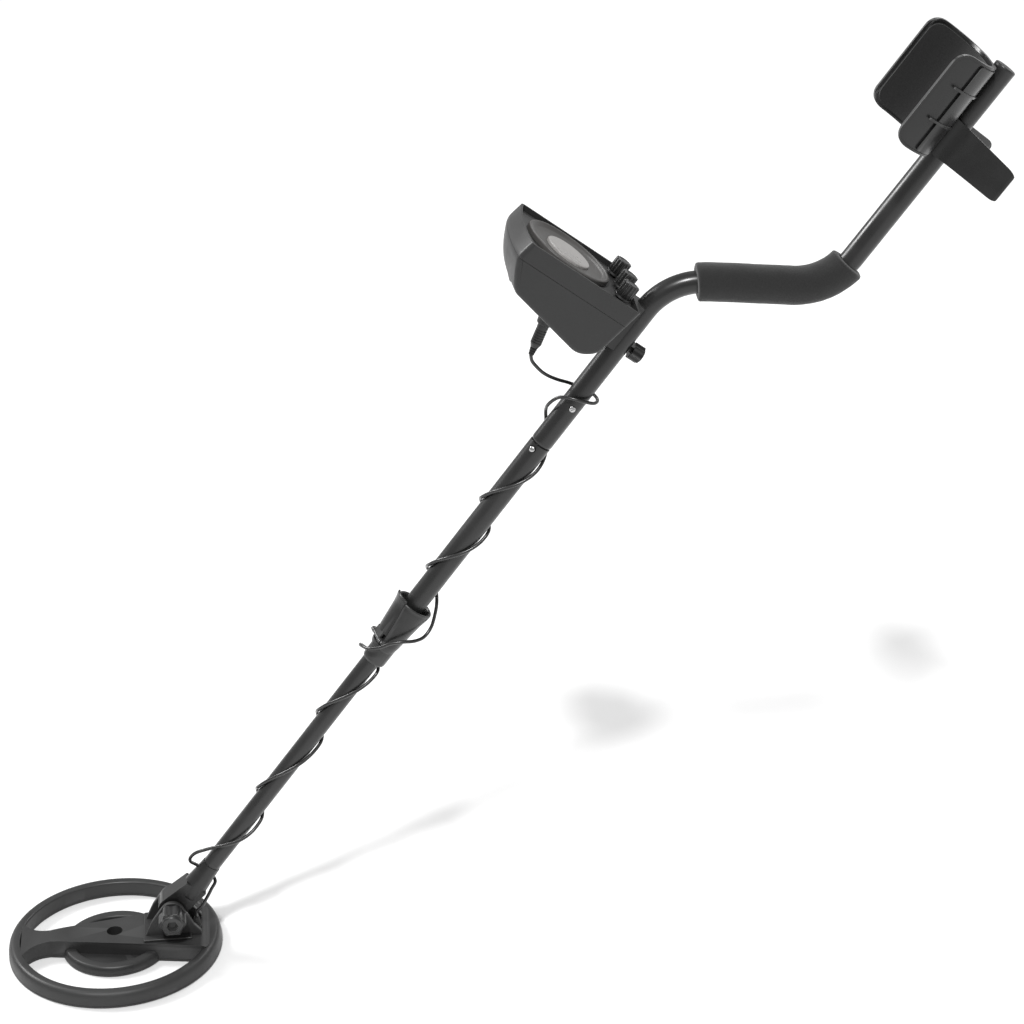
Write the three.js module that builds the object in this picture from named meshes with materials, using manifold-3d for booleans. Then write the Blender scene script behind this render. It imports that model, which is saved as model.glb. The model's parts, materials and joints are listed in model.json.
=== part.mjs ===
// Hand-held metal detector: open search coil, two-piece stem with a cam-lock collar, S-shaped upper tube
// with a foam grip, control box with a meter and three knobs, and an arm cuff with a two-legged stand.
// Millimetres, +Z up, +X from the coil back towards the operator, +Y to the operator's right.
// The origin is the middle of the hand grip, on the tube's centre line.
import * as THREE from "three";
import { mergeVertices } from "three/addons/utils/BufferGeometryUtils.js";
import Module from "manifold-3d";

const wasm = await Module();
wasm.setup();

// ---------- driving dimensions ----------
const GAP = 0.3; // between pieces that touch
const SHAFT_TILT = THREE.MathUtils.degToRad(52.4); // shaft above the level coil

// Shaft frame: x = distance up the shaft from the coil hinge, z = square to it (up and forward), y = sideways.
const TUBE_R = 11; // 22 mm aluminium tube
const TUBE_BORE = 10;
const SWAGE_R = 9.7; // lower end of the upper tube, drawn down to enter the middle tube
const SWAGE_BORE = 8.7;
const STEM_R = 9; // 18 mm lower stem
const STEM_BORE = 8;
const HINGE_RISE = 6.4; // coil hinge above the shaft's centre line
const STEM_FROM = 30;
const STEM_TO = 500;
const MIDDLE_FROM = 366;
const SEAM = 625.5; // top of the middle tube
const SWAGE_FROM = 576;
const BEND_R = 65;
const BEND = THREE.MathUtils.degToRad(58.4);
const FIRST_CORNER = 828.8; // where the shaft line meets the grip line
const GRIP_LINE = 154; // between the two corners of the S
const TUBE_END = 1169;
const ARM_DROP = GRIP_LINE * Math.sin(BEND); // arm tube below the shaft line
const GRIP_R = 18.6;

// Coil frame: level, origin at the centre of the underside.
const HINGE = { x: 61, z: 47 };
const COIL_R = 108.6;
const COIL_INNER_R = 96;
const RING_TOP = 17;
const BAR_TOP = 20;
const BASE_TOP = 2.7;
const SHELL_FROM = BASE_TOP + GAP;
const HUB_R = 54;
const HUB_TOP = 11;
const EAR_OUT = 18;
const EAR_IN = 13;
const HINGE_BOLT_R = 4;

// Control box, in the shaft frame.
const BOX_HALF = 54;
const BOX_WALL = 2.5;
const BOX_SEAM = 781.5;
const BOX_RIM = 800;
const BOX_FRONT = 153.3;
const FACE_FROM = 792;
const FACE_TO = 795;
const METER_Z = 94.8;
const KNOBS = [
  { name: "left", y: -30, z: 36, pot: 8 },
  { name: "centre", y: 0, z: 33, pot: 4.6 },
  { name: "right", y: 30, z: 36, pot: 8 },
];
const THUMBSCREW_X = 752.5;
const TUBE_SCREW_X = 675;
const SNAP_X = 619.5;
const SNAP_TURN = THREE.MathUtils.degToRad(55); // the snap button looks up and to the left
const CLAMP_TURN = THREE.MathUtils.degToRad(18); // and so does the lever, less so

// Arm cuff and its stand.
const CUFF_FROM = 1067;
const CUFF_TO = 1168;
const CUFF_BOLT_X = 1090;
const STAND_FROM = 1069;
const STAND_TO = 1110;

const CABLE_R = 1.75;

// ---------- materials ----------
const material = (color, roughness, metalness = 0) =>
  new THREE.MeshStandardMaterial({ color, roughness, metalness });
const LOOK = {
  paint: material(0x2b2c2d, 0.45, 0.2),
  plastic: material(0x303234, 0.55),
  softBlack: material(0x1d1d1e, 0.8),
  foam: material(0x262627, 0.95),
  grey: material(0x7d7e78, 0.5),
  scale: material(0xd8d8cc, 0.6),
  glass: material(0xc8cac0, 0.1),
  steel: material(0xb9bbbd, 0.3, 1),
  copper: material(0xb26a3a, 0.4, 1),
  board: material(0x1f5a34, 0.6),
  battery: material(0x3c3f44, 0.4, 0.3),
};

// ---------- solids ----------
function solid(geometry) {
  const loose = geometry.index ? geometry.toNonIndexed() : geometry;
  const bare = new THREE.BufferGeometry().setAttribute("position", loose.getAttribute("position"));
  const merged = mergeVertices(bare, 1e-4);
  const triVerts = new Uint32Array(merged.index.array);
  const build = () =>
    new wasm.Manifold(
      new wasm.Mesh({ numProp: 3, vertProperties: merged.attributes.position.array, triVerts }),
    );
  const made = build();
  if (made.volume() > 0) return made;
  for (let i = 0; i < triVerts.length; i += 3)
    [triVerts[i + 1], triVerts[i + 2]] = [triVerts[i + 2], triVerts[i + 1]];
  return build();
}

const join = (...solids) => solids.reduce((a, b) => a.add(b));
const cut = (body, ...tools) => tools.reduce((a, b) => a.subtract(b), body);

function piece(name, body, look) {
  const { vertProperties, triVerts } = body.getMesh();
  const geometry = new THREE.BufferGeometry();
  geometry.setAttribute("position", new THREE.BufferAttribute(new Float32Array(vertProperties), 3));
  geometry.setIndex(new THREE.BufferAttribute(new Uint32Array(triVerts), 1));
  geometry.computeVertexNormals();
  const mesh = new THREE.Mesh(geometry, look);
  mesh.name = name;
  return mesh;
}

function block(x0, x1, y0, y1, z0, z1) {
  const box = new THREE.BoxGeometry(x1 - x0, y1 - y0, z1 - z0);
  return solid(box.translate((x0 + x1) / 2, (y0 + y1) / 2, (z0 + z1) / 2));
}

// A profile of [distance along the axis, radius] pairs turned about an axis through the given point.
const ALONG = {
  x: (g) => g.rotateZ(-Math.PI / 2),
  y: (g) => g,
  z: (g) => g.rotateX(Math.PI / 2),
};
function turned(axis, profile, at = [0, 0, 0], segments = 16) {
  const points = profile.map(([along, radius]) => new THREE.Vector2(radius, along));
  const closed = profile[0][1] > 0 ? [...points, points[0].clone()] : points;
  return solid(ALONG[axis](new THREE.LatheGeometry(closed, segments)).translate(...at));
}

// Solid round bar, and a ring, from one place to another along an axis.
const rod = (axis, from, to, radius, at, segments = 16) =>
  turned(axis, [[from, 0], [from, radius], [to, radius], [to, 0]], at, segments);
const ring = (axis, from, to, inner, outer, at, segments = 20) =>
  turned(axis, [[from, inner], [from, outer], [to, outer], [to, inner]], at, segments);

// A shape drawn in x and z, pushed along y; in y and z, pushed along x; in x and y, pushed along z.
const FLAT = { depth: 1, bevelEnabled: false, curveSegments: 4 };
const pushY = (shape, from, to, curveSegments = 4) =>
  solid(
    new THREE.ExtrudeGeometry(shape, { ...FLAT, curveSegments, depth: to - from })
      .rotateX(Math.PI / 2)
      .translate(0, to, 0),
  );
const TURN_TO_X = new THREE.Matrix4().makeBasis(
  new THREE.Vector3(0, 1, 0),
  new THREE.Vector3(0, 0, 1),
  new THREE.Vector3(1, 0, 0),
);
const pushX = (shape, from, to, curveSegments = 4) =>
  solid(
    new THREE.ExtrudeGeometry(shape, { ...FLAT, curveSegments, depth: to - from })
      .applyMatrix4(TURN_TO_X)
      .translate(from, 0, 0),
  );
const pushZ = (shape, from, to, curveSegments = 4) =>
  solid(
    new THREE.ExtrudeGeometry(shape, { ...FLAT, curveSegments, depth: to - from }).translate(0, 0, from),
  );

// A polygon whose corners are rounded off over the given distance.
function rounded(corners, radii) {
  const shape = new THREE.Shape();
  const points = corners.map(([x, y]) => new THREE.Vector2(x, y));
  points.forEach((corner, i) => {
    const before = points[(i + points.length - 1) % points.length];
    const after = points[(i + 1) % points.length];
    const reach = Array.isArray(radii) ? radii[i] : radii;
    const start = corner.clone().add(before.clone().sub(corner).setLength(reach));
    const end = corner.clone().add(after.clone().sub(corner).setLength(reach));
    if (i === 0) shape.moveTo(start.x, start.y);
    else shape.lineTo(start.x, start.y);
    shape.quadraticCurveTo(corner.x, corner.y, end.x, end.y);
  });
  shape.closePath();
  return shape;
}

// A wall of even thickness along an open line of [across, up] points.
function wallShape(line, thickness) {
  const points = line.map(([x, y]) => new THREE.Vector2(x, y));
  const offset = (side) =>
    points.map((p, i) => {
      const a = points[Math.max(i - 1, 0)];
      const b = points[Math.min(i + 1, points.length - 1)];
      const along = b.clone().sub(a).normalize();
      return new THREE.Vector2(p.x - along.y * side, p.y + along.x * side);
    });
  return new THREE.Shape([...offset(thickness / 2), ...offset(-thickness / 2).reverse()]);
}

// An outline whose radius swells into lobes.
function lobed(radius, swell, lobes, perLobe = 4) {
  const count = lobes * perLobe;
  return new THREE.Shape(
    Array.from({ length: count }, (_, i) => {
      const turn = (2 * Math.PI * i) / count;
      const r = radius - swell * (0.5 - 0.5 * Math.cos(turn * lobes));
      return new THREE.Vector2(r * Math.cos(turn), r * Math.sin(turn));
    }),
  );
}

// A path that bends only at its own points, so a swept tube has one ring of vertices at each of them.
class StationPath extends THREE.Curve {
  constructor(stations) {
    super();
    this.stations = stations;
  }
  getPoint(t, target = new THREE.Vector3()) {
    const place = t * (this.stations.length - 1);
    const i = Math.min(Math.floor(place), this.stations.length - 2);
    return target.lerpVectors(this.stations[i], this.stations[i + 1], place - i);
  }
  getPointAt(u, target) {
    return this.getPoint(u, target);
  }
  getTangentAt(u, target) {
    return this.getTangent(u, target);
  }
}

function swept(stations, outer, inner, curveSegments) {
  const shape = new THREE.Shape().absarc(0, 0, outer, 0, 2 * Math.PI, false);
  if (inner) shape.holes.push(new THREE.Path().absarc(0, 0, inner, 0, 2 * Math.PI, true));
  const extrudePath = new StationPath(stations);
  return solid(new THREE.ExtrudeGeometry(shape, { steps: stations.length - 1, extrudePath, curveSegments }));
}

// ---------- the S line of the upper tube ----------
const BEND_REACH = BEND_R * Math.tan(BEND / 2);
const BEND_LENGTH = BEND_R * BEND;
const STRAIGHT = GRIP_LINE - 2 * BEND_REACH;
const BEND_STEPS = 5;
const BEND_1_AT = FIRST_CORNER - BEND_REACH;

// Point and heading on the tube's centre line, at a distance after the start of its first bend.
function onTube(distance) {
  const line = (x, z, heading, d) => ({
    x: x + d * Math.cos(heading),
    z: z + d * Math.sin(heading),
    heading,
  });
  const arc = (start, turn, d) => {
    const angle = d / BEND_R;
    const heading = start.heading + Math.sign(turn) * angle;
    const chord = 2 * BEND_R * Math.sin(angle / 2);
    const aim = (start.heading + heading) / 2;
    return { x: start.x + chord * Math.cos(aim), z: start.z + chord * Math.sin(aim), heading };
  };
  if (distance <= 0) return line(BEND_1_AT, 0, 0, distance);
  const first = { x: BEND_1_AT, z: 0, heading: 0 };
  if (distance <= BEND_LENGTH) return arc(first, -1, distance);
  const afterFirst = arc(first, -1, BEND_LENGTH);
  if (distance <= BEND_LENGTH + STRAIGHT)
    return line(afterFirst.x, afterFirst.z, afterFirst.heading, distance - BEND_LENGTH);
  const second = line(afterFirst.x, afterFirst.z, afterFirst.heading, STRAIGHT);
  const beyond = distance - BEND_LENGTH - STRAIGHT;
  if (beyond <= BEND_LENGTH) return arc(second, 1, beyond);
  const afterSecond = arc(second, 1, BEND_LENGTH);
  return line(afterSecond.x, afterSecond.z, 0, beyond - BEND_LENGTH);
}

// Stations from one distance to another: the ends, the ends of the bends, and even steps round each bend.
function tubeStations(from, to, stepsPerBend) {
  const marks = [from, to];
  for (const start of [0, BEND_LENGTH + STRAIGHT])
    for (let i = 0; i <= stepsPerBend; i++) marks.push(start + (BEND_LENGTH * i) / stepsPerBend);
  return marks
    .filter((d) => d >= from && d <= to)
    .sort((a, b) => a - b)
    .filter((d, i, all) => i === 0 || d - all[i - 1] > 0.5)
    .map((d) => {
      const { x, z } = onTube(d);
      return new THREE.Vector3(x, 0, z);
    });
}

const ARM_START = onTube(2 * BEND_LENGTH + STRAIGHT);
const TUBE_LENGTH = 2 * BEND_LENGTH + STRAIGHT + TUBE_END - ARM_START.x;
const GRIP_CENTRE = onTube(BEND_LENGTH + STRAIGHT / 2);
const ARM_Z = -ARM_DROP;

// ---------- shaft ----------
const snapTool = (radius, from, to) => {
  const tool = new THREE.CylinderGeometry(radius, radius, to - from, 12)
    .translate(0, (from + to) / 2, 0)
    .rotateX(Math.PI / 2)
    .rotateX(SNAP_TURN)
    .translate(SNAP_X, 0, 0);
  return solid(tool);
};

function upperTube() {
  const joint = 636; // the drawn-down end runs this far inside the full tube
  const swage = turned("x", [
    [SWAGE_FROM, SWAGE_BORE], [SWAGE_FROM, SWAGE_R], [SEAM + 0.6, SWAGE_R], [629, TUBE_R],
    [631, TUBE_R], [631, 10.6], [joint, 10.6], [joint, 9.8], [629, 9.8], [SEAM, SWAGE_BORE],
  ]);
  const sweep = swept(tubeStations(630.5 - BEND_1_AT, TUBE_LENGTH, BEND_STEPS), TUBE_R, TUBE_BORE, 8);
  return cut(
    join(swage, sweep),
    snapTool(3.3, 5, 14),
    rod("z", -16, 16, 3.3, [THUMBSCREW_X, 0, 0], 12),
    rod("y", -14, -6, 1.8, [TUBE_SCREW_X, 0, 0], 10),
    rod("z", -16, 16, 2.8, [CUFF_BOLT_X, 0, ARM_Z], 12),
  );
}

const middleTube = () => cut(ring("x", MIDDLE_FROM, SEAM, TUBE_BORE, TUBE_R), snapTool(3.3, 5, 14));

// Bent leaf spring inside the tube, pushing the snap button out.
function snapSpring() {
  const leaf = wallShape([[615, -7.4], [594, -7], [588, -4.5], [586.5, 0], [590, 3.6], [602, 5], [623, 6]], 0.9);
  return pushY(leaf, -3.5, 3.5);
}

const snapButton = () =>
  turned("z", [[6.8, 0], [6.8, 3], [11.4, 3], [12.4, 2.2], [12.8, 0]], [SNAP_X, 0, 0], 12);

function tubeScrew() {
  const slot = block(TUBE_SCREW_X - 4, TUBE_SCREW_X + 4, -13, -12.2, -0.4, 0.4);
  const screw = turned("y", [[-12.7, 0], [-12.6, 1.6], [-11.3, 3.1], [-11.3, 1.5], [-6, 1.5], [-5, 0]], [
    TUBE_SCREW_X, 0, 0,
  ], 14);
  return cut(screw, slot);
}

const lowerStem = () => ring("x", STEM_FROM, STEM_TO, STEM_BORE, STEM_R, [0, 0, 0], 20);

// Plug in the top of the lower stem, whose collar slides in the middle tube.
const stemGuide = () =>
  turned("x", [
    [STEM_TO - 14, 5], [STEM_TO - 14, 7.7], [STEM_TO + GAP, 7.7], [STEM_TO + GAP, 9.6],
    [STEM_TO + 9, 9.6], [STEM_TO + 11, 8.6], [STEM_TO + 11, 5],
  ]);

// Moulded foot of the lower stem: a flared socket that ends in a flat tongue round the hinge bolt.
function stemYoke() {
  const tongue = new THREE.Shape();
  tongue.moveTo(34, -12);
  tongue.lineTo(34, 12);
  tongue.lineTo(6, HINGE_RISE + 13.4);
  tongue.absarc(0, HINGE_RISE, 14.5, 1.16, -2.2, false);
  tongue.closePath();
  const flare = turned("x", [[20, 0], [20, 12.4], [34, 12.4], [50, 10.8], [62, 10.2], [62, 0]]);
  return cut(
    join(pushY(tongue, -10.5, 10.5, 8), flare),
    rod("x", STEM_FROM - GAP, 70, STEM_R + GAP, [0, 0, 0], 20),
    rod("y", -20, 20, HINGE_BOLT_R + GAP, [0, 0, HINGE_RISE]),
  );
}

const hingeWasher = (from, to) =>
  ring("y", from, to, HINGE_BOLT_R + GAP, 10.5, [0, 0, HINGE_RISE], 20);

// ---------- cam-lock collar (turned about the shaft by CLAMP_TURN) ----------
const LEVER_HALF = 10;
const PIN = { x: 371, z: 13.4, r: 1.2 };
const PIVOT_HALF = 7;

function clampCollar() {
  const sleeve = turned("x", [[343.6, 0], [343.6, 10.6], [346.5, 12.2], [372, 12.4], [372, 0]], [0, 0, -1.6], 20);
  const funnel = turned("x", [
    [362, 0], [362, 13.2], [372, 14.6], [408, 18.4], [414, 19.4], [418, 19.4], [418, 17.4], [390, 12.4],
    [390, 0],
  ], [0, 0, 0], 20);
  const bore = turned("x", [
    [340, 0], [340, STEM_R + 0.5], [MIDDLE_FROM - GAP, STEM_R + 0.5], [MIDDLE_FROM - GAP, TUBE_R + GAP],
    [400, TUBE_R + GAP], [400, 0],
  ], [0, 0, 0], 20);
  const window = block(366.5, 431, -LEVER_HALF - GAP, LEVER_HALF + GAP, 5, 40);
  const ear = (y0, y1) => block(366, 376, y0, y1, 9, 15.4);
  const ears = join(ear(-LEVER_HALF - 2, -PIVOT_HALF - GAP), ear(PIVOT_HALF + GAP, LEVER_HALF + 2));
  return cut(join(cut(join(sleeve, funnel), window), ears), bore, rod("y", -20, 20, PIN.r + GAP, [PIN.x, 0, PIN.z]));
}

// Split bush between the lower stem and the middle tube.
const clampBush = () => ring("x", MIDDLE_FROM + 1, 390, STEM_R + 0.15, TUBE_BORE - 0.15, [0, 0, 0], 20);

function clampLever() {
  const plate = turned("x", [
    [378.5, 13.2], [378.5, 15.4], [408, 18.6], [416, 20], [420, 21.4], [421.5, 20], [418, 17.8],
    [408, 16.2], [390, 13.8],
  ], [0, 0, 0], 24).intersect(block(370, 430, -LEVER_HALF, LEVER_HALF, 5, 40));
  const hub = rod("y", -PIVOT_HALF, PIVOT_HALF, 2.1, [PIN.x, 0, PIN.z], 12);
  const arm = block(PIN.x, 380, -PIVOT_HALF, PIVOT_HALF, PIN.z - 0.8, PIN.z + 1.4);
  return cut(join(plate, hub, arm), rod("y", -20, 20, PIN.r + GAP, [PIN.x, 0, PIN.z]));
}

const clampPin = () => rod("y", -LEVER_HALF - 1.8, LEVER_HALF + 1.8, PIN.r, [PIN.x, 0, PIN.z], 10);

// ---------- grip and arm cuff ----------
const GRIP_FROM = BEND_LENGTH - 10;
const GRIP_TO = 2 * BEND_LENGTH + STRAIGHT - 7.5;
const foamGrip = () => swept(tubeStations(GRIP_FROM, GRIP_TO, BEND_STEPS), GRIP_R, TUBE_R + 2 * GAP, 8);

const tubeEndCap = () =>
  turned("x", [
    [TUBE_END - 12, 0], [TUBE_END - 12, TUBE_BORE - GAP], [TUBE_END + GAP, TUBE_BORE - GAP],
    [TUBE_END + GAP, TUBE_R], [TUBE_END + 1.8, TUBE_R], [TUBE_END + 2.8, TUBE_R - 1.2], [TUBE_END + 2.8, 0],
  ], [0, 0, ARM_Z]);

// Half of the cuff's section from the middle outwards, mirrored to both sides.
const mirrored = (half) => [...half.map(([y, z]) => [-y, z]).reverse(), ...half];
const CUFF_LINE = mirrored([[11, -115.1], [27, -111.5], [42, -103], [52, -90], [55.5, -78], [57, -64.5]]);
const PAD_LINE = mirrored([[11, -111.5], [26, -108], [39.5, -100.4], [48.7, -88.4], [52, -77.4], [53.4, -68]]);
const STAND_LINE = mirrored([[7, -118.4], [12, -121.5], [14.6, -131], [21, -146], [33, -167], [46, -188]]);

function armCuff() {
  const side = rounded(
    [[CUFF_FROM, -118], [CUFF_TO, -118], [CUFF_TO, -64.4], [CUFF_FROM, -64.4]],
    [4, 4, 15, 15],
  );
  const wall = pushX(wallShape(CUFF_LINE, 3), CUFF_FROM, CUFF_TO).intersect(pushY(side, -80, 80));
  const tool = rod("z", -130, -100, 2.8, [CUFF_BOLT_X, 0, 0], 12);
  return cut(wall, tool);
}

function cuffPad() {
  const side = rounded(
    [[CUFF_FROM + 4, -118], [CUFF_TO - 4, -118], [CUFF_TO - 4, -68], [CUFF_FROM + 4, -68]],
    [4, 4, 12, 12],
  );
  const lining = pushX(wallShape(PAD_LINE, 3), CUFF_FROM + 4, CUFF_TO - 4).intersect(pushY(side, -80, 80));
  return cut(lining, rod("z", -130, -100, 6.5, [CUFF_BOLT_X, 0, 0], 14));
}

function cuffStand() {
  const side = rounded(
    [[STAND_FROM, -116], [STAND_FROM + 1, -189.5], [STAND_TO - 8, -189.5], [STAND_TO, -116]],
    [1, 8, 8, 1],
  );
  const wall = pushX(wallShape(STAND_LINE, 3), STAND_FROM, STAND_TO).intersect(pushY(side, -80, 80));
  return cut(wall, rod("z", -130, -110, 2.8, [CUFF_BOLT_X, 0, 0], 12));
}

const cuffBolt = () =>
  turned("z", [
    [-150, 0], [-150, 2.5], [-113.2, 2.5], [-113.2, 5.2], [-111.4, 4.8], [-110.6, 3], [-110.6, 0],
  ], [CUFF_BOLT_X, 0, 0], 14);

function cuffNut() {
  const nut = rod("z", -148, ARM_Z - TUBE_R - GAP, 5, [CUFF_BOLT_X, 0, 0], 6);
  return cut(nut, rod("z", -160, -130, 2.5 + GAP, [CUFF_BOLT_X, 0, 0], 12));
}

// ---------- control box ----------
// Side outline of the box in its middle plane: rim at the back, front end up, saddle end down.
const BOX_OUTLINE = [
  [BOX_RIM, 150], [BOX_RIM, 19.4], [744.5, 28.3], [733.7, 44.3], [751.9, 134.5], [764, 144.5], [BOX_SEAM, BOX_FRONT],
];
const BOX_CORNERS = [2, 2, 5, 7, 6, 6, 4];
const UNDERSIDE_TILT = Math.atan2(18.2, 90.2);
const FRONT_BULGE = 6; // how far the front stands out in the middle

// The box outline moved in by a wall thickness on every side but the rim.
const BOX_INSIDE = [
  [BOX_RIM, 147.5], [BOX_RIM, 22.2], [746, 31], [736.5, 45.2], [754, 133.2], [765, 142], [BOX_SEAM, BOX_FRONT - BOX_WALL],
];

// Seen from behind, the front end is a shallow arc between the two sides.
function frontArc(half, front) {
  const plan = new THREE.Shape();
  plan.moveTo(-half, 0);
  plan.lineTo(half, 0);
  plan.lineTo(half, front - FRONT_BULGE);
  plan.quadraticCurveTo(half * 0.6, front, 0, front);
  plan.quadraticCurveTo(-half * 0.6, front, -half, front - FRONT_BULGE);
  plan.closePath();
  return pushX(plan, 700, 820);
}
const boxBlock = (outline, half, front) =>
  pushY(rounded(outline, BOX_CORNERS), -half, half).intersect(frontArc(half, front));
const hollowBox = () =>
  cut(
    boxBlock(BOX_OUTLINE, BOX_HALF, BOX_FRONT),
    boxBlock(BOX_INSIDE, BOX_HALF - BOX_WALL, BOX_FRONT - BOX_WALL),
  );

// Turns a solid made square to the shaft so that it lies on the sloping underside.
const DOOR = { x: 743.5, z: 92, long: 42, half: 28, thick: 2.3 };
function onUnderside(geometry) {
  return solid(geometry.rotateY(UNDERSIDE_TILT).translate(DOOR.x, 0, DOOR.z));
}
const doorBlock = (x0, x1, half, z0, z1) =>
  onUnderside(
    new THREE.BoxGeometry(x1 - x0, 2 * half, z1 - z0).translate((x0 + x1) / 2, 0, (z0 + z1) / 2),
  );

function boxShell() {
  const below = block(700, BOX_SEAM, -80, 80, 0, 200);
  const slots = Array.from({ length: 5 }, (_, i) => block(750, 768, 48, 60, 51 + 6 * i, 53.5 + 6 * i));
  const open = cut(hollowBox().intersect(below), doorBlock(-10, 10, DOOR.half + 0.4, 0, DOOR.long), ...slots);
  return cut(join(open, socketCollar()), socketHole());
}

function boxBezel() {
  const above = block(BOX_SEAM + GAP, 820, -80, 80, 0, 200);
  const face = block(FACE_FROM, FACE_TO, -52, 52, 21, 146).intersect(frontArc(BOX_HALF - 1, BOX_FRONT - 1));
  const shafts = KNOBS.map(({ y, z }) => rod("x", 780, 810, 3.4, [0, y, z], 12));
  return cut(
    join(hollowBox().intersect(above), face),
    rod("x", 780, 810, 31, [0, 0, METER_Z], 32),
    ...shafts,
  );
}

const batteryDoor = () => {
  const plate = doorBlock(0, DOOR.thick, DOOR.half, 0.4, DOOR.long - 0.4);
  const hook = doorBlock(DOOR.thick - 1, DOOR.thick + 3, 6, DOOR.long - 5, DOOR.long - 2.4);
  return join(plate, hook);
};

const circuitBoard = () =>
  cut(block(776, 777.6, -46, 46, 28, 138), rod("x", 770, 780, 14, [0, 0, METER_Z], 20));

// Moving-coil meter: cup, movement with its pivot, scale plate, needle, sloped ring and clear window.
const meterCase = () =>
  turned("x", [
    [779, 0], [779, 30], [FACE_TO, 30], [FACE_TO, 27.5], [782, 27.5], [782, 0],
  ], [0, 0, METER_Z], 28);
const PIVOT_Z = METER_Z - 12;
const meterMovement = () =>
  turned("x", [[782.5, 0], [782.5, 9], [787.5, 9], [787.5, 1], [793, 1], [793, 0]], [0, 0, PIVOT_Z]);
const meterDial = () =>
  cut(rod("x", 788, 789, 27, [0, 0, METER_Z], 28), rod("x", 780, 800, 1.6, [0, 0, PIVOT_Z], 10));

function meterNeedle() {
  const pointer = new THREE.Shape([
    new THREE.Vector2(-0.9, -7), new THREE.Vector2(0.9, -7), new THREE.Vector2(0.3, 30),
    new THREE.Vector2(-0.3, 30),
  ]);
  const flat = pushX(pointer, 790, 790.8);
  const hub = rod("x", 789.6, 792, 2.6, [0, 0, 0], 12);
  return cut(join(flat, hub), rod("x", 780, 800, 1 + GAP, [0, 0, 0], 10));
}

const meterRing = () =>
  turned("x", [
    [FACE_TO + GAP, 24], [FACE_TO + GAP, 46.1], [799.2, 46.1], [800.3, 45.2], [800.3, 43], [797.6, 40],
    [796.6, 24],
  ], [0, 0, METER_Z], 28);
const meterWindow = () =>
  turned("x", [[FACE_TO + GAP, 0], [FACE_TO + GAP, 23.7], [798.6, 23.7], [799.3, 22.6], [799.3, 0]], [
    0, 0, METER_Z,
  ], 32);

const KNOB_FROM = FACE_TO + 4.5;
const KNOB_TO = KNOB_FROM + 14.5;
const potentiometer = (y, z, radius) =>
  turned("x", [
    [777.9, 0], [777.9, radius], [FACE_FROM - GAP, radius], [FACE_FROM - GAP, 3], [KNOB_TO - 5, 3], [KNOB_TO - 5, 0],
  ], [0, y, z], 16);

function controlKnob() {
  const skirt = turned("x", [[FACE_TO + 2.5, 0], [FACE_TO + 2.5, 9], [KNOB_FROM, 8.6], [KNOB_FROM, 0]]);
  const grip = pushX(lobed(8.4, 0.9, 12, 2), KNOB_FROM - 0.5, KNOB_TO - 1);
  const crown = turned("x", [[KNOB_TO - 1.2, 0], [KNOB_TO - 1.2, 7.5], [KNOB_TO, 6.6], [KNOB_TO, 0]]);
  return cut(join(skirt, grip, crown), rod("x", 790, KNOB_TO - 4.5, 3 + GAP, [0, 0, 0], 12));
}

const speaker = () =>
  turned("y", [[36, 0], [36, 8], [42, 8], [46, 17], [50, 17], [50, 14], [47, 5], [47, 0]], [758, 0, 64.5], 20);

const battery = (y0, y1) => {
  const body = new THREE.BoxGeometry(17.5, y1 - y0, 48.5);
  return onUnderside(body.translate(14.6, (y0 + y1) / 2, 20));
};

// Cradle between the box and the tube, and the thumbscrew that holds it from below.
function boxSaddle() {
  const outline = new THREE.Shape([
    new THREE.Vector2(746, 5), new THREE.Vector2(796, 5), new THREE.Vector2(796, 19.2),
    new THREE.Vector2(746, 27.2),
  ]);
  return cut(
    pushY(outline, -13.5, 13.5),
    rod("x", 740, 800, TUBE_R + GAP, [0, 0, 0], 20),
    rod("z", 0, 20, 3 + GAP, [THUMBSCREW_X, 0, 0], 12),
  );
}

function thumbscrew() {
  const head = pushZ(lobed(9, 1.6, 8), -24.5, -13.2);
  const rim = rod("z", -25.5, -24.3, 7.4, [0, 0, 0]);
  return join(head, rim, rod("z", -14, 17.5, 3, [0, 0, 0], 12));
}

// Round socket in a moulded collar on the underside, and the cable plug in it. Both lean towards the tube.
const PLUG = { x: 739.7, z: 74, lean: 0.25 };
const COLLAR_END = -13;
const leaning = (body) => {
  const turn = (PLUG.lean * 180) / Math.PI;
  return body.rotate([0, -turn, 0]).translate([PLUG.x, 0, PLUG.z]);
};
const socketCollar = () =>
  leaning(turned("x", [[COLLAR_END, 0], [COLLAR_END, 7], [COLLAR_END + 1, 7.6], [3, 8.2], [3, 0]]));
const socketHole = () => leaning(rod("x", COLLAR_END - 5, 15, 6.3));
const boxSocket = () =>
  turned("x", [
    [COLLAR_END + 1, 4.6], [COLLAR_END + 1, 6], [7, 6], [7, 8], [8.5, 8], [8.5, 4.6],
  ]);
const cablePlug = () =>
  turned("x", [
    [-38, CABLE_R + GAP], [-38, 4], [-34, 5.4], [COLLAR_END - GAP, 5.6], [COLLAR_END - GAP, 4.2], [2, 4.2],
    [2, 2.6], [-10, 2.6], [-10, CABLE_R + GAP],
  ]);
const PLUG_END = -46;
const plugBoot = () =>
  turned("x", [
    [PLUG_END, CABLE_R + GAP], [PLUG_END, 2.7], [-38 - GAP, 3.7], [-38 - GAP, CABLE_R + GAP],
  ], [0, 0, 0], 16);

// ---------- search coil (coil frame) ----------
const barHalf = (x) => 8.5 + 0.185 * (x + 76); // the bar widens evenly towards the hinge

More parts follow.
